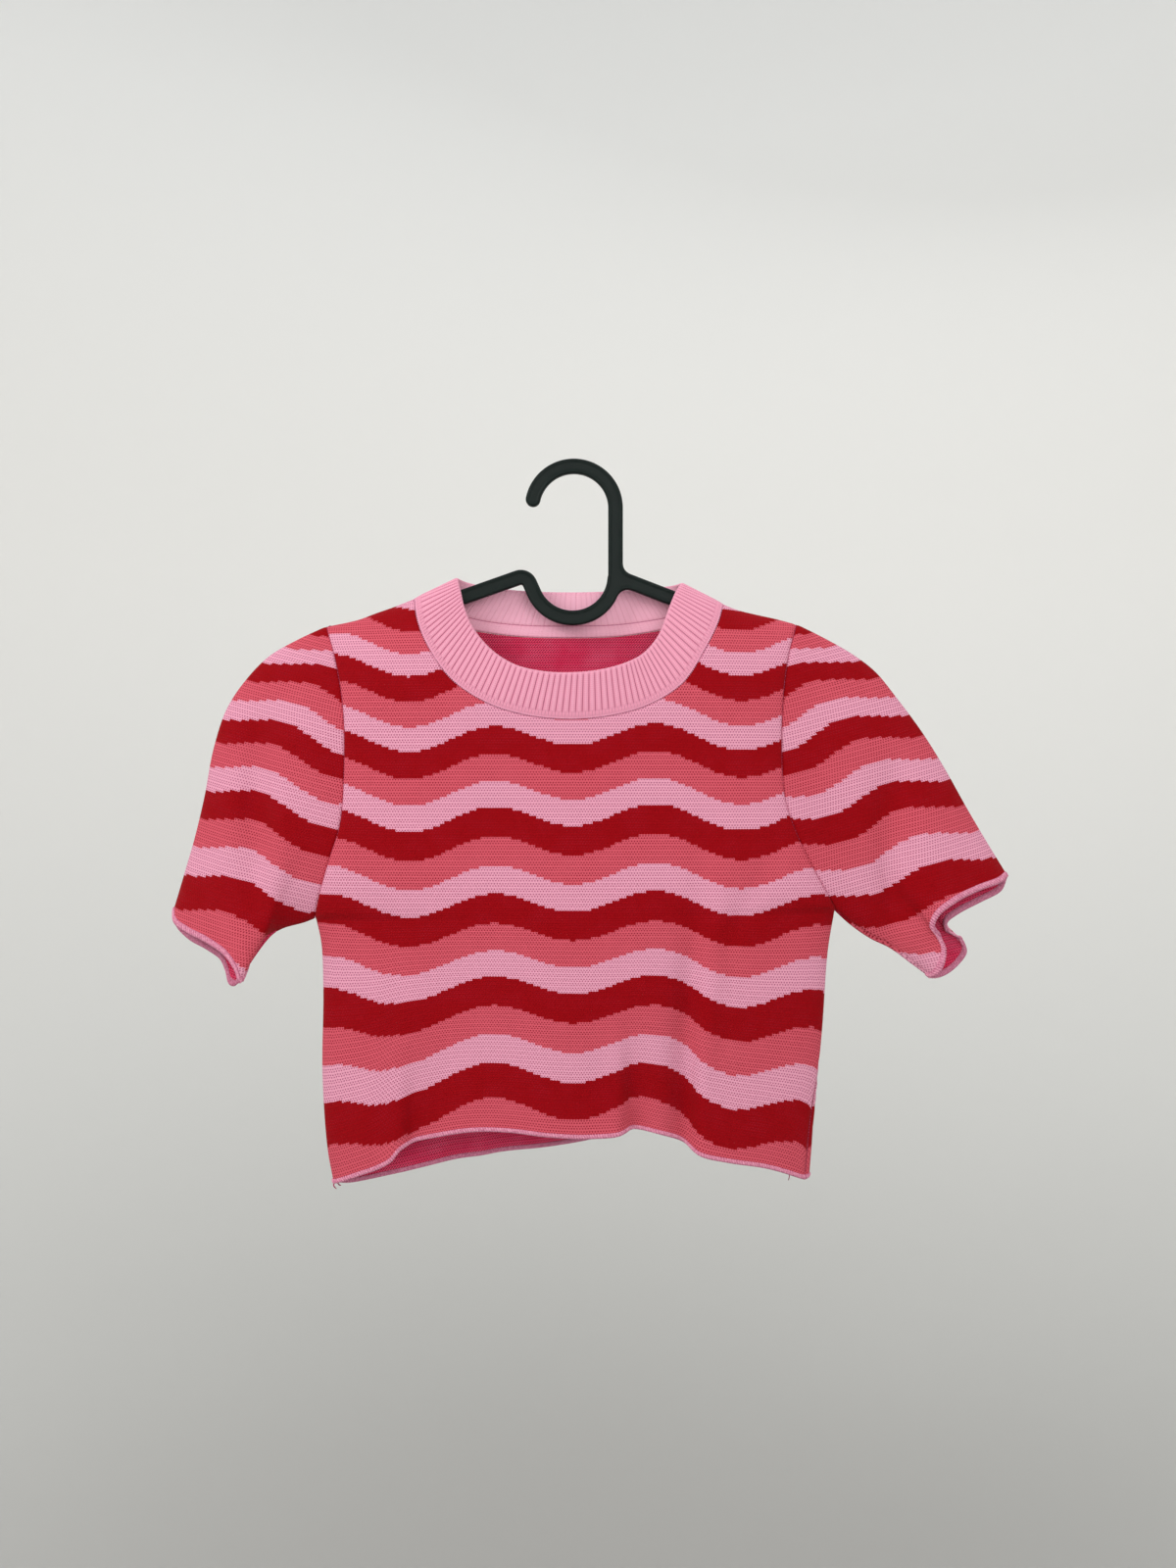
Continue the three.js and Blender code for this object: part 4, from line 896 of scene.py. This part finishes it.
def rib_knit(name):
    """Rib knit in pink acrylic: matt, with fine upright loops along each rib, painted shade in the
    grooves and painted light that makes the inside paler."""
    material, tree, shader = yarn_material(name, 0.8, 0.25)
    grain = node(tree, "ShaderNodeAttribute", attribute_name="grain")
    part = node(tree, "ShaderNodeSeparateXYZ", {0: grain.outputs["Vector"]})
    turn_u = node(tree, "ShaderNodeMath", {0: part, 1: 2 * math.pi / RIB_STITCH["wide"]},
                  operation="MULTIPLY")
    turn_v = node(tree, "ShaderNodeMath", {0: part.outputs[1], 1: 2 * math.pi / RIB_STITCH["tall"]},
                  operation="MULTIPLY")
    wave_u = node(tree, "ShaderNodeMath", {0: turn_u}, operation="COSINE")
    bent = node(tree, "ShaderNodeMath", {0: wave_u, 1: 1.2, 2: turn_v}, operation="MULTIPLY_ADD")
    wave_v = node(tree, "ShaderNodeMath", {0: bent}, operation="SINE")
    loops = node(tree, "ShaderNodeMath", {0: wave_u, 1: wave_v}, operation="ADD")
    shade = node(tree, "ShaderNodeMapRange", {"Value": loops, "From Min": -2.0, "From Max": 1.0})
    tone = node(tree, "ShaderNodeMix", {0: shade, 6: linear("#E692AC"), 7: linear("#F2A9C0")},
                data_type="RGBA")
    # Painted shade: the stored groove value darkens the grooves and the linking line; below 0 it is painted
    # light that pales the inside.
    groove = node(tree, "ShaderNodeAttribute", attribute_name="groove")
    inside = node(tree, "ShaderNodeMapRange", {"Value": groove.outputs["Fac"], "From Min": 0.0,
                                               "From Max": -0.5})
    pale = node(tree, "ShaderNodeMix", {0: inside, 6: tone.outputs[2], 7: linear("#FFBCD2")},
                data_type="RGBA")
    dark = node(tree, "ShaderNodeMix", {0: groove.outputs["Fac"], 6: pale.outputs[2], 7: linear("#BC6482")},
                data_type="RGBA")
    tree.links.new(dark.outputs[2], shader.inputs["Base Color"])
    bump = node(tree, "ShaderNodeBump", {"Height": loops, "Strength": 0.35, "Distance": 0.25 * MM})
    tree.links.new(bump.outputs[0], shader.inputs["Normal"])
    return material


rib_nodes, rib_names = rib_tree()
rib_material = rib_knit("rib_knit_pink_acrylic")
neckband = apply_tree(band_mesh(), rib_nodes, rib_names,
                      {"Raise": RIB_RAISE * MM, "Groove": GROOVE, "Material": rib_material}, "neckband")
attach(neckband, "root")
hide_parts("neck_rib")

# Edges: the first rows of knitting at the hem and the cuffs are plain pink and roll to a cord-like
# edge, with the slanting loops of the start of the knitting on it.

HEM_ROLL = {"thick": 1.5, "tall": 2.0, "pitch": 1.9}
CUFF_ROLL = {"thick": 1.8, "tall": 2.7, "pitch": 1.9}
ROLL_SIDES = 10
ROLL_INSET = 0.55

# The loops on the roll: how far out they sit and how long they are as shares of the roll, their
# thickness in millimetres, and their slant and its unevenness in degrees
LOOP_LIFT = 0.75
LOOP_SPAN = 1.9
LOOP_THICK = 1.5
LOOP_SLANT = 24
LOOP_JITTER = 6
# The roll under the loops is a darker pink than the loops' yarn: painted shade in the grooves between the
# loops.
painted_shade_knit = plain_knit("plain_knit_pink_acrylic_painted_shade", "#DE92AC", "#B86280")


def roll_mesh(name, centre, through, down, roll, closed):
    """A tube of oval section along an edge."""
    turn = 2 * np.pi * np.arange(ROLL_SIDES) / ROLL_SIDES
    rings = (centre[:, None] + through[:, None] * np.sin(turn)[:, None] * roll["thick"]
             + down[:, None] * np.cos(turn)[:, None] * roll["tall"])
    count = len(centre)
    faces = ring_faces(count, ROLL_SIDES, closed)
    if not closed:
        faces.append(tuple(range(ROLL_SIDES))[::-1])
        faces.append(tuple(range((count - 1) * ROLL_SIDES, count * ROLL_SIDES)))
    return mesh_object(name, rings.reshape(-1, 3), faces, materials=[painted_shade_knit], sharp=180)


def spaced(points, pitch, *others):
    """Points at an even pitch along a line, with the other rows of values at the same places."""
    length = np.concatenate([[0], np.cumsum(np.linalg.norm(np.diff(points, axis=0), axis=1))])
    at = np.arange(pitch / 2, length[-1], pitch)
    return [np.stack([np.interp(at, length, values[:, axis]) for axis in range(3)], axis=-1)
            for values in (points, *others)]


def stitch_tree():
    """Sets one small loop of yarn on each point, lying along the cloth and turned by the slant."""
    tree, source, names = new_tree("loops_of_yarn", [
        ("Length", "NodeSocketFloat"), ("Thickness", "NodeSocketFloat"), ("Slant", "NodeSocketFloat"),
        ("Jitter", "NodeSocketFloat"), ("Seed", "NodeSocketInt"), ("Material", "NodeSocketMaterial")])
    bead = node(tree, "GeometryNodeMeshUVSphere", {"Segments": 8, "Rings": 6, "Radius": 0.5})
    size = node(tree, "ShaderNodeCombineXYZ", {0: source.outputs["Length"], 1: source.outputs["Thickness"],
                                               2: source.outputs["Thickness"]})
    loop = node(tree, "GeometryNodeTransform", {"Geometry": bead, "Scale": size})
    outward = node(tree, "GeometryNodeInputNamedAttribute", {"Name": "outward"}, data_type="FLOAT_VECTOR")
    along = node(tree, "GeometryNodeInputNamedAttribute", {"Name": "along"}, data_type="FLOAT_VECTOR")
    facing = node(tree, "FunctionNodeAxesToRotation",
                  {"Primary Axis": outward, "Secondary Axis": along},
                  primary_axis="Z", secondary_axis="X")
    less = node(tree, "ShaderNodeMath", {0: source.outputs["Jitter"], 1: -1.0}, operation="MULTIPLY")
    wobble = node(tree, "FunctionNodeRandomValue", {"Min": less, "Max": source.outputs["Jitter"],
                                                    "Seed": source.outputs["Seed"]}, data_type="FLOAT")
    angle = node(tree, "ShaderNodeMath", {0: source.outputs["Slant"], 1: wobble.outputs["Value"]},
                 operation="ADD")
    slant = node(tree, "FunctionNodeAxisAngleToRotation", {"Axis": (0, 0, 1), "Angle": angle})
    turned = node(tree, "FunctionNodeRotateRotation", {0: facing, 1: slant},
                  rotation_space="LOCAL")
    loops = node(tree, "GeometryNodeInstanceOnPoints", {"Points": source, "Instance": loop,
                                                        "Rotation": turned})
    smooth_loops = node(tree, "GeometryNodeSetShadeSmooth", {0: loops})
    finish_tree(tree, source, smooth_loops)
    return tree, names


stitch_nodes, stitch_names = stitch_tree()


def stitch_row(name, points, outward, along, length, thickness, slant, jitter, seed, material):
    """A row of loops on the given points."""
    mesh = bpy.data.meshes.new(name)
    mesh.from_pydata((np.asarray(points) * MM).tolist(), [], [])
    for label, values in (("outward", outward), ("along", along)):
        mesh.attributes.new(label, "FLOAT_VECTOR", "POINT").data.foreach_set("vector", np.ravel(values))
    carrier = bpy.data.objects.new(name, mesh)
    bpy.context.collection.objects.link(carrier)
    made = apply_tree(carrier, stitch_nodes, stitch_names,
                      {"Length": length * MM, "Thickness": thickness * MM, "Slant": math.radians(slant),
                       "Jitter": math.radians(jitter), "Seed": seed, "Material": material}, name)
    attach(made, "root")
    return made


roll_edges = [
    ("hem_front", front_points, -1, HEM_ROLL, False), ("hem_back", back_points, 1, HEM_ROLL, False),
    ("cuff_left", left_points, -1, CUFF_ROLL, True), ("cuff_right", right_points, 1, CUFF_ROLL, True),
]
for number, (name, grid, sign, roll, closed) in enumerate(roll_edges):
    through = (normals(grid, closed) * sign)[-1]
    down = unit(grid[-1] - grid[-4])
    down = unit(down - through * (down * through).sum(axis=1, keepdims=True))
    centre = grid[-1] - down * roll["tall"] * ROLL_INSET
    tube = roll_mesh(name + "_roll", centre, through, down, roll, closed)
    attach(tube, "root")
    if closed:
        centre, through, down = (np.vstack([values, values[:1]]) for values in (centre, through, down))
    places, facing, falling = spaced(centre, roll["pitch"], through, down)
    out = unit(facing)
    loops = stitch_row(name + "_loops", places + out * roll["thick"] * LOOP_LIFT, out, unit(falling),
                       roll["tall"] * LOOP_SPAN, LOOP_THICK, LOOP_SLANT, LOOP_JITTER, number + 1, pink_knit)

# Seams: the armholes, the neck and the lower right side are linked by machine, which leaves a row of
# small loops in the groove, with a few longer overlock threads showing at the left underarm.

dark_yarn = plain_knit("sewing_yarn_dark_pink_acrylic", "#C9557C", "#8E1F3F")
pale_yarn = plain_knit("sewing_yarn_pale_pink_acrylic", "#F6B8D0", "#DB8FB0")

# Pitch, lift from the seam, length and thickness of the loops, in millimetres, and their unevenness
ARMHOLE_LOOPS = {"pitch": 2.1, "lift": 0.25, "size": (1.5, 0.7), "jitter": 10}
SIDE_LOOPS = {"pitch": 1.9, "lift": 0.35, "size": (1.3, 0.6), "jitter": 10}
NECK_LOOPS = {"pitch": 1.55, "lift": 0.75, "size": (2.0, 0.8), "jitter": 6}
NECK_LOOPS_UP = 0.5
SIDE_LOOPS_TOP = -445


def seam_loops(name, line, facing, running, loops, up, seed, yarn):
    """A row of small loops along a seam."""
    places, facing, running = spaced(line, loops["pitch"], facing, running)
    facing, running = unit(facing), unit(running)
    stitch_row(name, places + facing * loops["lift"] + running * up, facing, running,
               *loops["size"], 0, loops["jitter"], seed, yarn)


for name, side, seed in (("left", -1, 11), ("right", 1, 12)):
    loop = armholes[side]
    closed = [np.vstack([loop[key], loop[key][:1]]) for key in ("points", "through", "along")]
    seam_loops(name + "_armhole_loops", *closed, ARMHOLE_LOOPS, 0, seed, dark_yarn)

rows = np.flatnonzero(front_points[:, -1, 2] < SIDE_LOOPS_TOP)
seam = front_points[rows, -1]
running = unit(np.gradient(seam, axis=0))
facing = unit(np.cross(running, back_points[rows, -2] - front_points[rows, -2]))
seam_loops("side_seam_loops", seam, facing * np.sign(-facing[:, 1:2]), running, SIDE_LOOPS, 0, 31, dark_yarn)

closed = [np.vstack([neck_seam[key], neck_seam[key][:1]]) for key in ("points", "through", "over")]
seam_loops("neck_linking_loops", *closed, NECK_LOOPS, NECK_LOOPS_UP, 21, pale_yarn)

# Loose ends: short tails of yarn at the lower corners, the shoulder tip and the left underarm, each
# a thin twisted thread that hangs from its seam.

THREADS = {
    "hem_left": (dark_yarn, 0.45, [(-174.5, -1.5, -519), (-175.5, -2.5, -522), (-173.2, -3, -524.5)]),
    "hem_left_short": (dark_yarn, 0.4, [(-173.5, -1.5, -519), (-171.5, -2.5, -521.5), (-170, -2.5, -522)]),
    "hem_right": (dark_yarn, 0.3, [(157.2, -5, -510.5), (157.8, -5.5, -514), (157, -5.5, -517.5)]),
    "shoulder_left": (dark_yarn, 0.4, [(-180.5, -1, -113.5), (-178, -2.5, -112.2), (-175.8, -3, -114.5)]),
    "underarm_left": (pale_yarn, 0.4, [(-190.5, -1.5, -317), (-187.5, -3, -321), (-189.5, -2.5, -326)]),
    "underarm_left_short": (pale_yarn, 0.4, [(-188.5, -2, -322), (-192.5, -3, -324), (-194, -2.5, -322)]),
    "sleeve_left": (pale_yarn, 0.35, [(-235.5, -3, -331), (-233, -3.5, -333.5), (-234.5, -3, -336)]),
}
THREAD_SIDES = 6
THREAD_TURNS = 3
THREAD_TIP = 0.05
for name, (yarn, radius, knots) in THREADS.items():
    line = spline(knots)
    share = np.linspace(0, 1, len(line))[:, None]
    along = unit(np.gradient(line, axis=0))
    first = unit(np.cross(along, (0, 1, 0)))
    second = np.cross(along, first)
    angle = 2 * np.pi * (np.arange(THREAD_SIDES) / THREAD_SIDES + THREAD_TURNS * share)[..., None]
    size = radius * np.sqrt(1 - share ** 4)[..., None] + THREAD_TIP
    rings = line[:, None] + (first[:, None] * np.cos(angle) + second[:, None] * np.sin(angle)) * size
    faces = ring_faces(len(line), THREAD_SIDES, along_ring=True)
    faces += [tuple(range(THREAD_SIDES))[::-1], tuple(range(len(line) * THREAD_SIDES)[-THREAD_SIDES:])]
    tail = mesh_object("tail_" + name, rings.reshape(-1, 3), faces, materials=[yarn], sharp=180)
    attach(tail, "root")

# Hanger: one injection-moulded piece of dark green polypropylene with a satin face. Its flat stroke
# is slightly dished on both faces and rounded at the edges, and the top hangs on its two arms.

HANGER_WIDTH = 10.8
HOOK_RADIUS = 30.6
HOOK_TIP = 168
SHANK_X = 31
DIP_CENTRE = (-0.5, -75)
DIP_RADIUS = 31
DIP_START = -4
DIP_FLARE = 24
FLARE_LENGTH = 8
BUMP_RADIUS = 7
LEFT_ARM = {"angle": 19.4, "tip_x": -193}
RIGHT_ARM = {"angle": 21.1, "tip_x": 189, "start_z": -75.4}
UPPER_FILLET = 6
LOWER_FILLET = 9

# Section of the stroke from its edge inwards: distance in from the outline, and half thickness
HANGER_SECTION = [(0, 1.1), (0.05, 1.7), (0.3, 2.2), (0.75, 2.58), (1.3, 2.75), (1.8, 2.74), (2.3, 2.55),
                  (2.8, 2.36), (3.3, 2.28), (3.7, 2.26)]


def arc(centre, radius, start, end, count):
    angles = np.radians(np.linspace(start, end, count))
    return np.column_stack([centre[0] + radius * np.cos(angles), centre[1] + radius * np.sin(angles)])


def offset_line(line, distance):
    """The line moved to its left by a distance."""
    along = unit(np.gradient(line, axis=0))
    return line + np.column_stack([-along[:, 1], along[:, 0]]) * distance


def crossing_of(first, second):
    """Where two lines cross: the step on each, and the point."""
    for i in range(len(first) - 1):
        for j in range(len(second) - 1):
            a, b = first[i + 1] - first[i], second[j + 1] - second[j]
            turn = a[0] * b[1] - a[1] * b[0]
            if abs(turn) < 1e-9:
                continue
            gap = second[j] - first[i]
            s, t = (gap[0] * b[1] - gap[1] * b[0]) / turn, (gap[0] * a[1] - gap[1] * a[0]) / turn
            if 0 <= s <= 1 and 0 <= t <= 1:
                return i, j, first[i] + a * s
    raise ValueError("the lines don't cross")


def fillet(before, after, corner, radius):
    """Joins two lines that meet at a corner by a smooth curve that starts a radius from it."""
    before = before[np.linalg.norm(before - corner, axis=1) > radius]
    after = after[np.linalg.norm(after - corner, axis=1) > radius]
    t = np.linspace(0, 1, 12)[1:-1, None]
    curve = before[-1] * (1 - t) ** 2 + corner * 2 * t * (1 - t) + after[0] * t ** 2
    return np.vstack([before, curve, after])


def dense(line, gap=1.0):
    """The same line with points at most a gap apart."""
    out = [line[:1]]
    for a, b in zip(line[:-1], line[1:]):
        count = max(1, int(np.linalg.norm(b - a) / gap))
        out.append(a + (b - a) * np.linspace(0, 1, count + 1)[1:, None])
    return np.vstack(out)


def hanger_outline():
    half = HANGER_WIDTH / 2
    hook = arc((SHANK_X - HOOK_RADIUS, half - HOOK_RADIUS), HOOK_RADIUS, HOOK_TIP, 0, 70)
    foot = np.array([[SHANK_X, RIGHT_ARM["start_z"]]])
    dip = arc(DIP_CENTRE, DIP_RADIUS, DIP_START, DIP_FLARE - 180, 50)
    flare = math.radians(DIP_FLARE)
    flare_end = dip[-1] + np.array([-math.sin(flare), math.cos(flare)]) * FLARE_LENGTH
    bump_centre = flare_end - np.array([math.cos(flare), math.sin(flare)]) * BUMP_RADIUS
    bump = arc(bump_centre, BUMP_RADIUS, DIP_FLARE, 90 + LEFT_ARM["angle"], 14)
    tips = []
    for arm, start in ((LEFT_ARM, bump[-1]), (RIGHT_ARM, foot[0])):
        drop = abs(arm["tip_x"] - start[0]) * math.tan(math.radians(arm["angle"]))
        tips.append(np.array([[arm["tip_x"], start[1] - drop]]))
    main = dense(np.vstack([hook, foot, dip, bump, tips[0]]))
    arm = dense(np.vstack([foot, tips[1]]))
    low, high = offset_line(main, half), offset_line(main, -half)
    arm_top, arm_bottom = offset_line(arm, half), offset_line(arm, -half)
    i, j, corner = crossing_of(low, arm_top)
    upper = fillet(low[:i + 1], arm_top[j + 1:], corner, UPPER_FILLET)
    i, j, corner = crossing_of(low[::-1], arm_bottom)
    i = len(low) - 1 - i
    lower = fillet(arm_bottom[::-1][:len(arm_bottom) - 1 - j], low[i:], corner, LOWER_FILLET)

    def cap(tip, inside):
        heading = math.degrees(math.atan2(*(tip - inside)[::-1]))
        return arc(tip, half, heading + 90, heading - 90, 16)[1:-1]

    return np.vstack([upper, cap(arm[-1], arm[-2]), lower, cap(main[-1], main[-2]), high[::-1],
                      cap(main[0], main[1])])


def hanger_mesh(outline):
    """Rings of the outline, moved in and out, from the front face round the edge to the back face."""
    gaps = np.linalg.norm(outline - np.roll(outline, 1, axis=0), axis=1)
    outline = outline[gaps > 0.05]
    along = unit(np.roll(outline, -1, axis=0) - np.roll(outline, 1, axis=0))
    inward = np.column_stack([along[:, 1], -along[:, 0]])
    section = HANGER_SECTION[::-1] + [(0, 0.0)] + [(inset, -y) for inset, y in HANGER_SECTION]
    rings = [np.column_stack([outline[:, 0] + inward[:, 0] * inset, np.full(len(outline), -y),
                              outline[:, 1] + inward[:, 1] * inset]) for inset, y in section]
    faces = ring_faces(len(section), len(outline), along_ring=True)
    made = mesh_object("hanger_body", np.vstack(rings), faces, materials=[polypropylene], sharp=180)
    return made, len(outline), len(section)


# Marks of the flow and grains of the mould's skin, per metre
FLOW_MARKS = 60.0
MOULD_GRAINS = 2500.0


def satin_polypropylene(name):
    """Injection-moulded polypropylene: dark green, satin, with the fine grain of the mould."""
    material = bpy.data.materials.new(name)
    material.use_nodes = True
    tree = material.node_tree
    shader = tree.nodes["Principled BSDF"]
    shader.inputs["IOR"].default_value = 1.49
    shader.inputs["Specular IOR Level"].default_value = 0.16
    place = node(tree, "ShaderNodeTexCoord")
    cloud = node(tree, "ShaderNodeTexNoise", {"Vector": place.outputs["Object"], "Scale": FLOW_MARKS,
                                              "Detail": 4.0})
    tone = node(tree, "ShaderNodeMix", {0: cloud.outputs["Fac"], 6: linear("#0A1412"), 7: linear("#111D1A")},
                data_type="RGBA")
    tree.links.new(tone.outputs[2], shader.inputs["Base Color"])
    gloss = node(tree, "ShaderNodeMapRange", {"Value": cloud.outputs["Fac"], "To Min": 0.38, "To Max": 0.5})
    tree.links.new(gloss.outputs[0], shader.inputs["Roughness"])
    grain = node(tree, "ShaderNodeTexNoise", {"Vector": place.outputs["Object"], "Scale": MOULD_GRAINS,
                                              "Detail": 2.0})
    bump = node(tree, "ShaderNodeBump", {"Height": grain, "Strength": 0.12, "Distance": 0.1 * MM})
    tree.links.new(bump.outputs[0], shader.inputs["Normal"])
    return material


polypropylene = satin_polypropylene("moulded_polypropylene_dark_green")
hanger, ring_size, ring_count = hanger_mesh(hanger_outline())
mesh = hanger.data
shape = bmesh.new()
shape.from_mesh(mesh)
shape.verts.ensure_lookup_table()
for start in (0, (ring_count - 1) * ring_size):
    shape.faces.new([shape.verts[start + k] for k in range(ring_size)])
bmesh.ops.recalc_face_normals(shape, faces=shape.faces)
bmesh.ops.triangulate(shape, faces=[face for face in shape.faces if len(face.verts) > 4])
shape.to_mesh(mesh)
shape.free()
mesh.polygons.foreach_set("use_smooth", [True] * len(mesh.polygons))
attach(hanger, "root")
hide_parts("hanger")

# Room: a pale matt studio sweep all round, soft light from the upper left, and a camera at the
# viewing angle of the picture.

# Tones of the room, from the floor to the wall, and the distances in metres from its origin: painted shade,
# darker on the floor near the middle and paler up the wall
PAINTED_WALL_SHADE = [(0.0, "#A9A8A5"), (0.22, "#C6C6C3"), (0.45, "#DDDDDA"), (0.75, "#F4F3F0"), (1.0, "#FCFCFA")]
WALL_FROM = 1.2
WALL_TO = 3.2


def matt_paint(name, tones):
    """Matt paint with painted light and shade: greyer on the floor and paler up the wall."""
    material = bpy.data.materials.new(name)
    material.use_nodes = True
    tree = material.node_tree
    shader = tree.nodes["Principled BSDF"]
    shader.inputs["Roughness"].default_value = 0.9
    shader.inputs["Specular IOR Level"].default_value = 0.1
    place = node(tree, "ShaderNodeTexCoord")
    away = node(tree, "ShaderNodeVectorMath", {0: place.outputs["Object"]}, operation="LENGTH")
    share = node(tree, "ShaderNodeMapRange", {"Value": away.outputs["Value"], "From Min": WALL_FROM,
                                              "From Max": WALL_TO})
    tone = node(tree, "ShaderNodeValToRGB", {0: share})
    stops(tone, [(position, linear(colour)) for position, colour in tones], "LINEAR")
    tree.links.new(tone.outputs[0], shader.inputs["Base Color"])
    return material


def sweep_mesh():
    """A round studio: flat floor, a wide cove and an upright wall, open at the top."""
    floor, radius, cove, top = -1150, 2700, 1800, 2400
    profile = [(0.001, floor), (radius - cove, floor)]
    for angle in np.radians(np.linspace(-84, 0, 15)):
        profile.append((radius - cove + cove * math.cos(angle), floor + cove + cove * math.sin(angle)))
    profile.append((radius, top))
    turns = np.linspace(0, 2 * np.pi, 96, endpoint=False)
    vertices = [(r * math.cos(a), r * math.sin(a), z) for r, z in profile for a in turns]
    faces = [tuple(map(int, face)) for face in ring_faces(len(profile), len(turns))]
    mesh = bpy.data.meshes.new("studio_sweep")
    mesh.from_pydata((np.array(vertices) * MM).tolist(), [], faces)
    mesh.materials.append(matt_paint("matt_wall_paint_painted_shade", PAINTED_WALL_SHADE))
    mesh.polygons.foreach_set("use_smooth", [True] * len(mesh.polygons))
    made = bpy.data.objects.new("studio_sweep", mesh)
    bpy.context.collection.objects.link(made)
    return made


sweep_mesh()

world = bpy.data.worlds.new("soft_daylight")
bpy.context.scene.world = world
world.use_nodes = True
world.node_tree.nodes["Background"].inputs[0].default_value = linear("#F4F6F8")
world.node_tree.nodes["Background"].inputs[1].default_value = 0.57

# Soft lamps: place, what each is aimed at, size in metres and power in watts
TOP_CENTRE = (0.01, 0, -0.28)
LIGHTS = [("window", (-1.5, -1.1, 1.0), TOP_CENTRE, 0.9, 18.5),
          ("room", (0.3, -1.5, 0.3), TOP_CENTRE, 1.2, 8.8),
          ("above_behind", (0.9, 0.9, 2.1), TOP_CENTRE, 1.6, 15),
          ("wall", (0.2, 0.7, 1.0), (0, 2.7, 1.5), 2.0, 4.5)]
for name, place, target, size, power in LIGHTS:
    lamp = bpy.data.lights.new(name, "AREA")
    lamp.size = size
    lamp.energy = power
    lit = bpy.data.objects.new(name, lamp)
    bpy.context.collection.objects.link(lit)
    lit.location = place
    aim = np.array(target) - np.array(place)
    tilt = math.atan2(math.hypot(aim[0], aim[1]), -aim[2])
    lit.rotation_euler = (tilt, 0, math.atan2(aim[1], aim[0]) - math.pi / 2)
    lit.visible_camera = False

camera_data = bpy.data.cameras.new("camera")
camera_data.sensor_width = 36
camera_data.lens = 27.03
camera = bpy.data.objects.new("camera", camera_data)
bpy.context.collection.objects.link(camera)
camera.location = (0.0108, -0.865, -0.2279)
camera.rotation_euler = (math.radians(90), 0, 0)
bpy.context.scene.camera = camera
bpy.context.scene.view_settings.view_transform = "Standard"
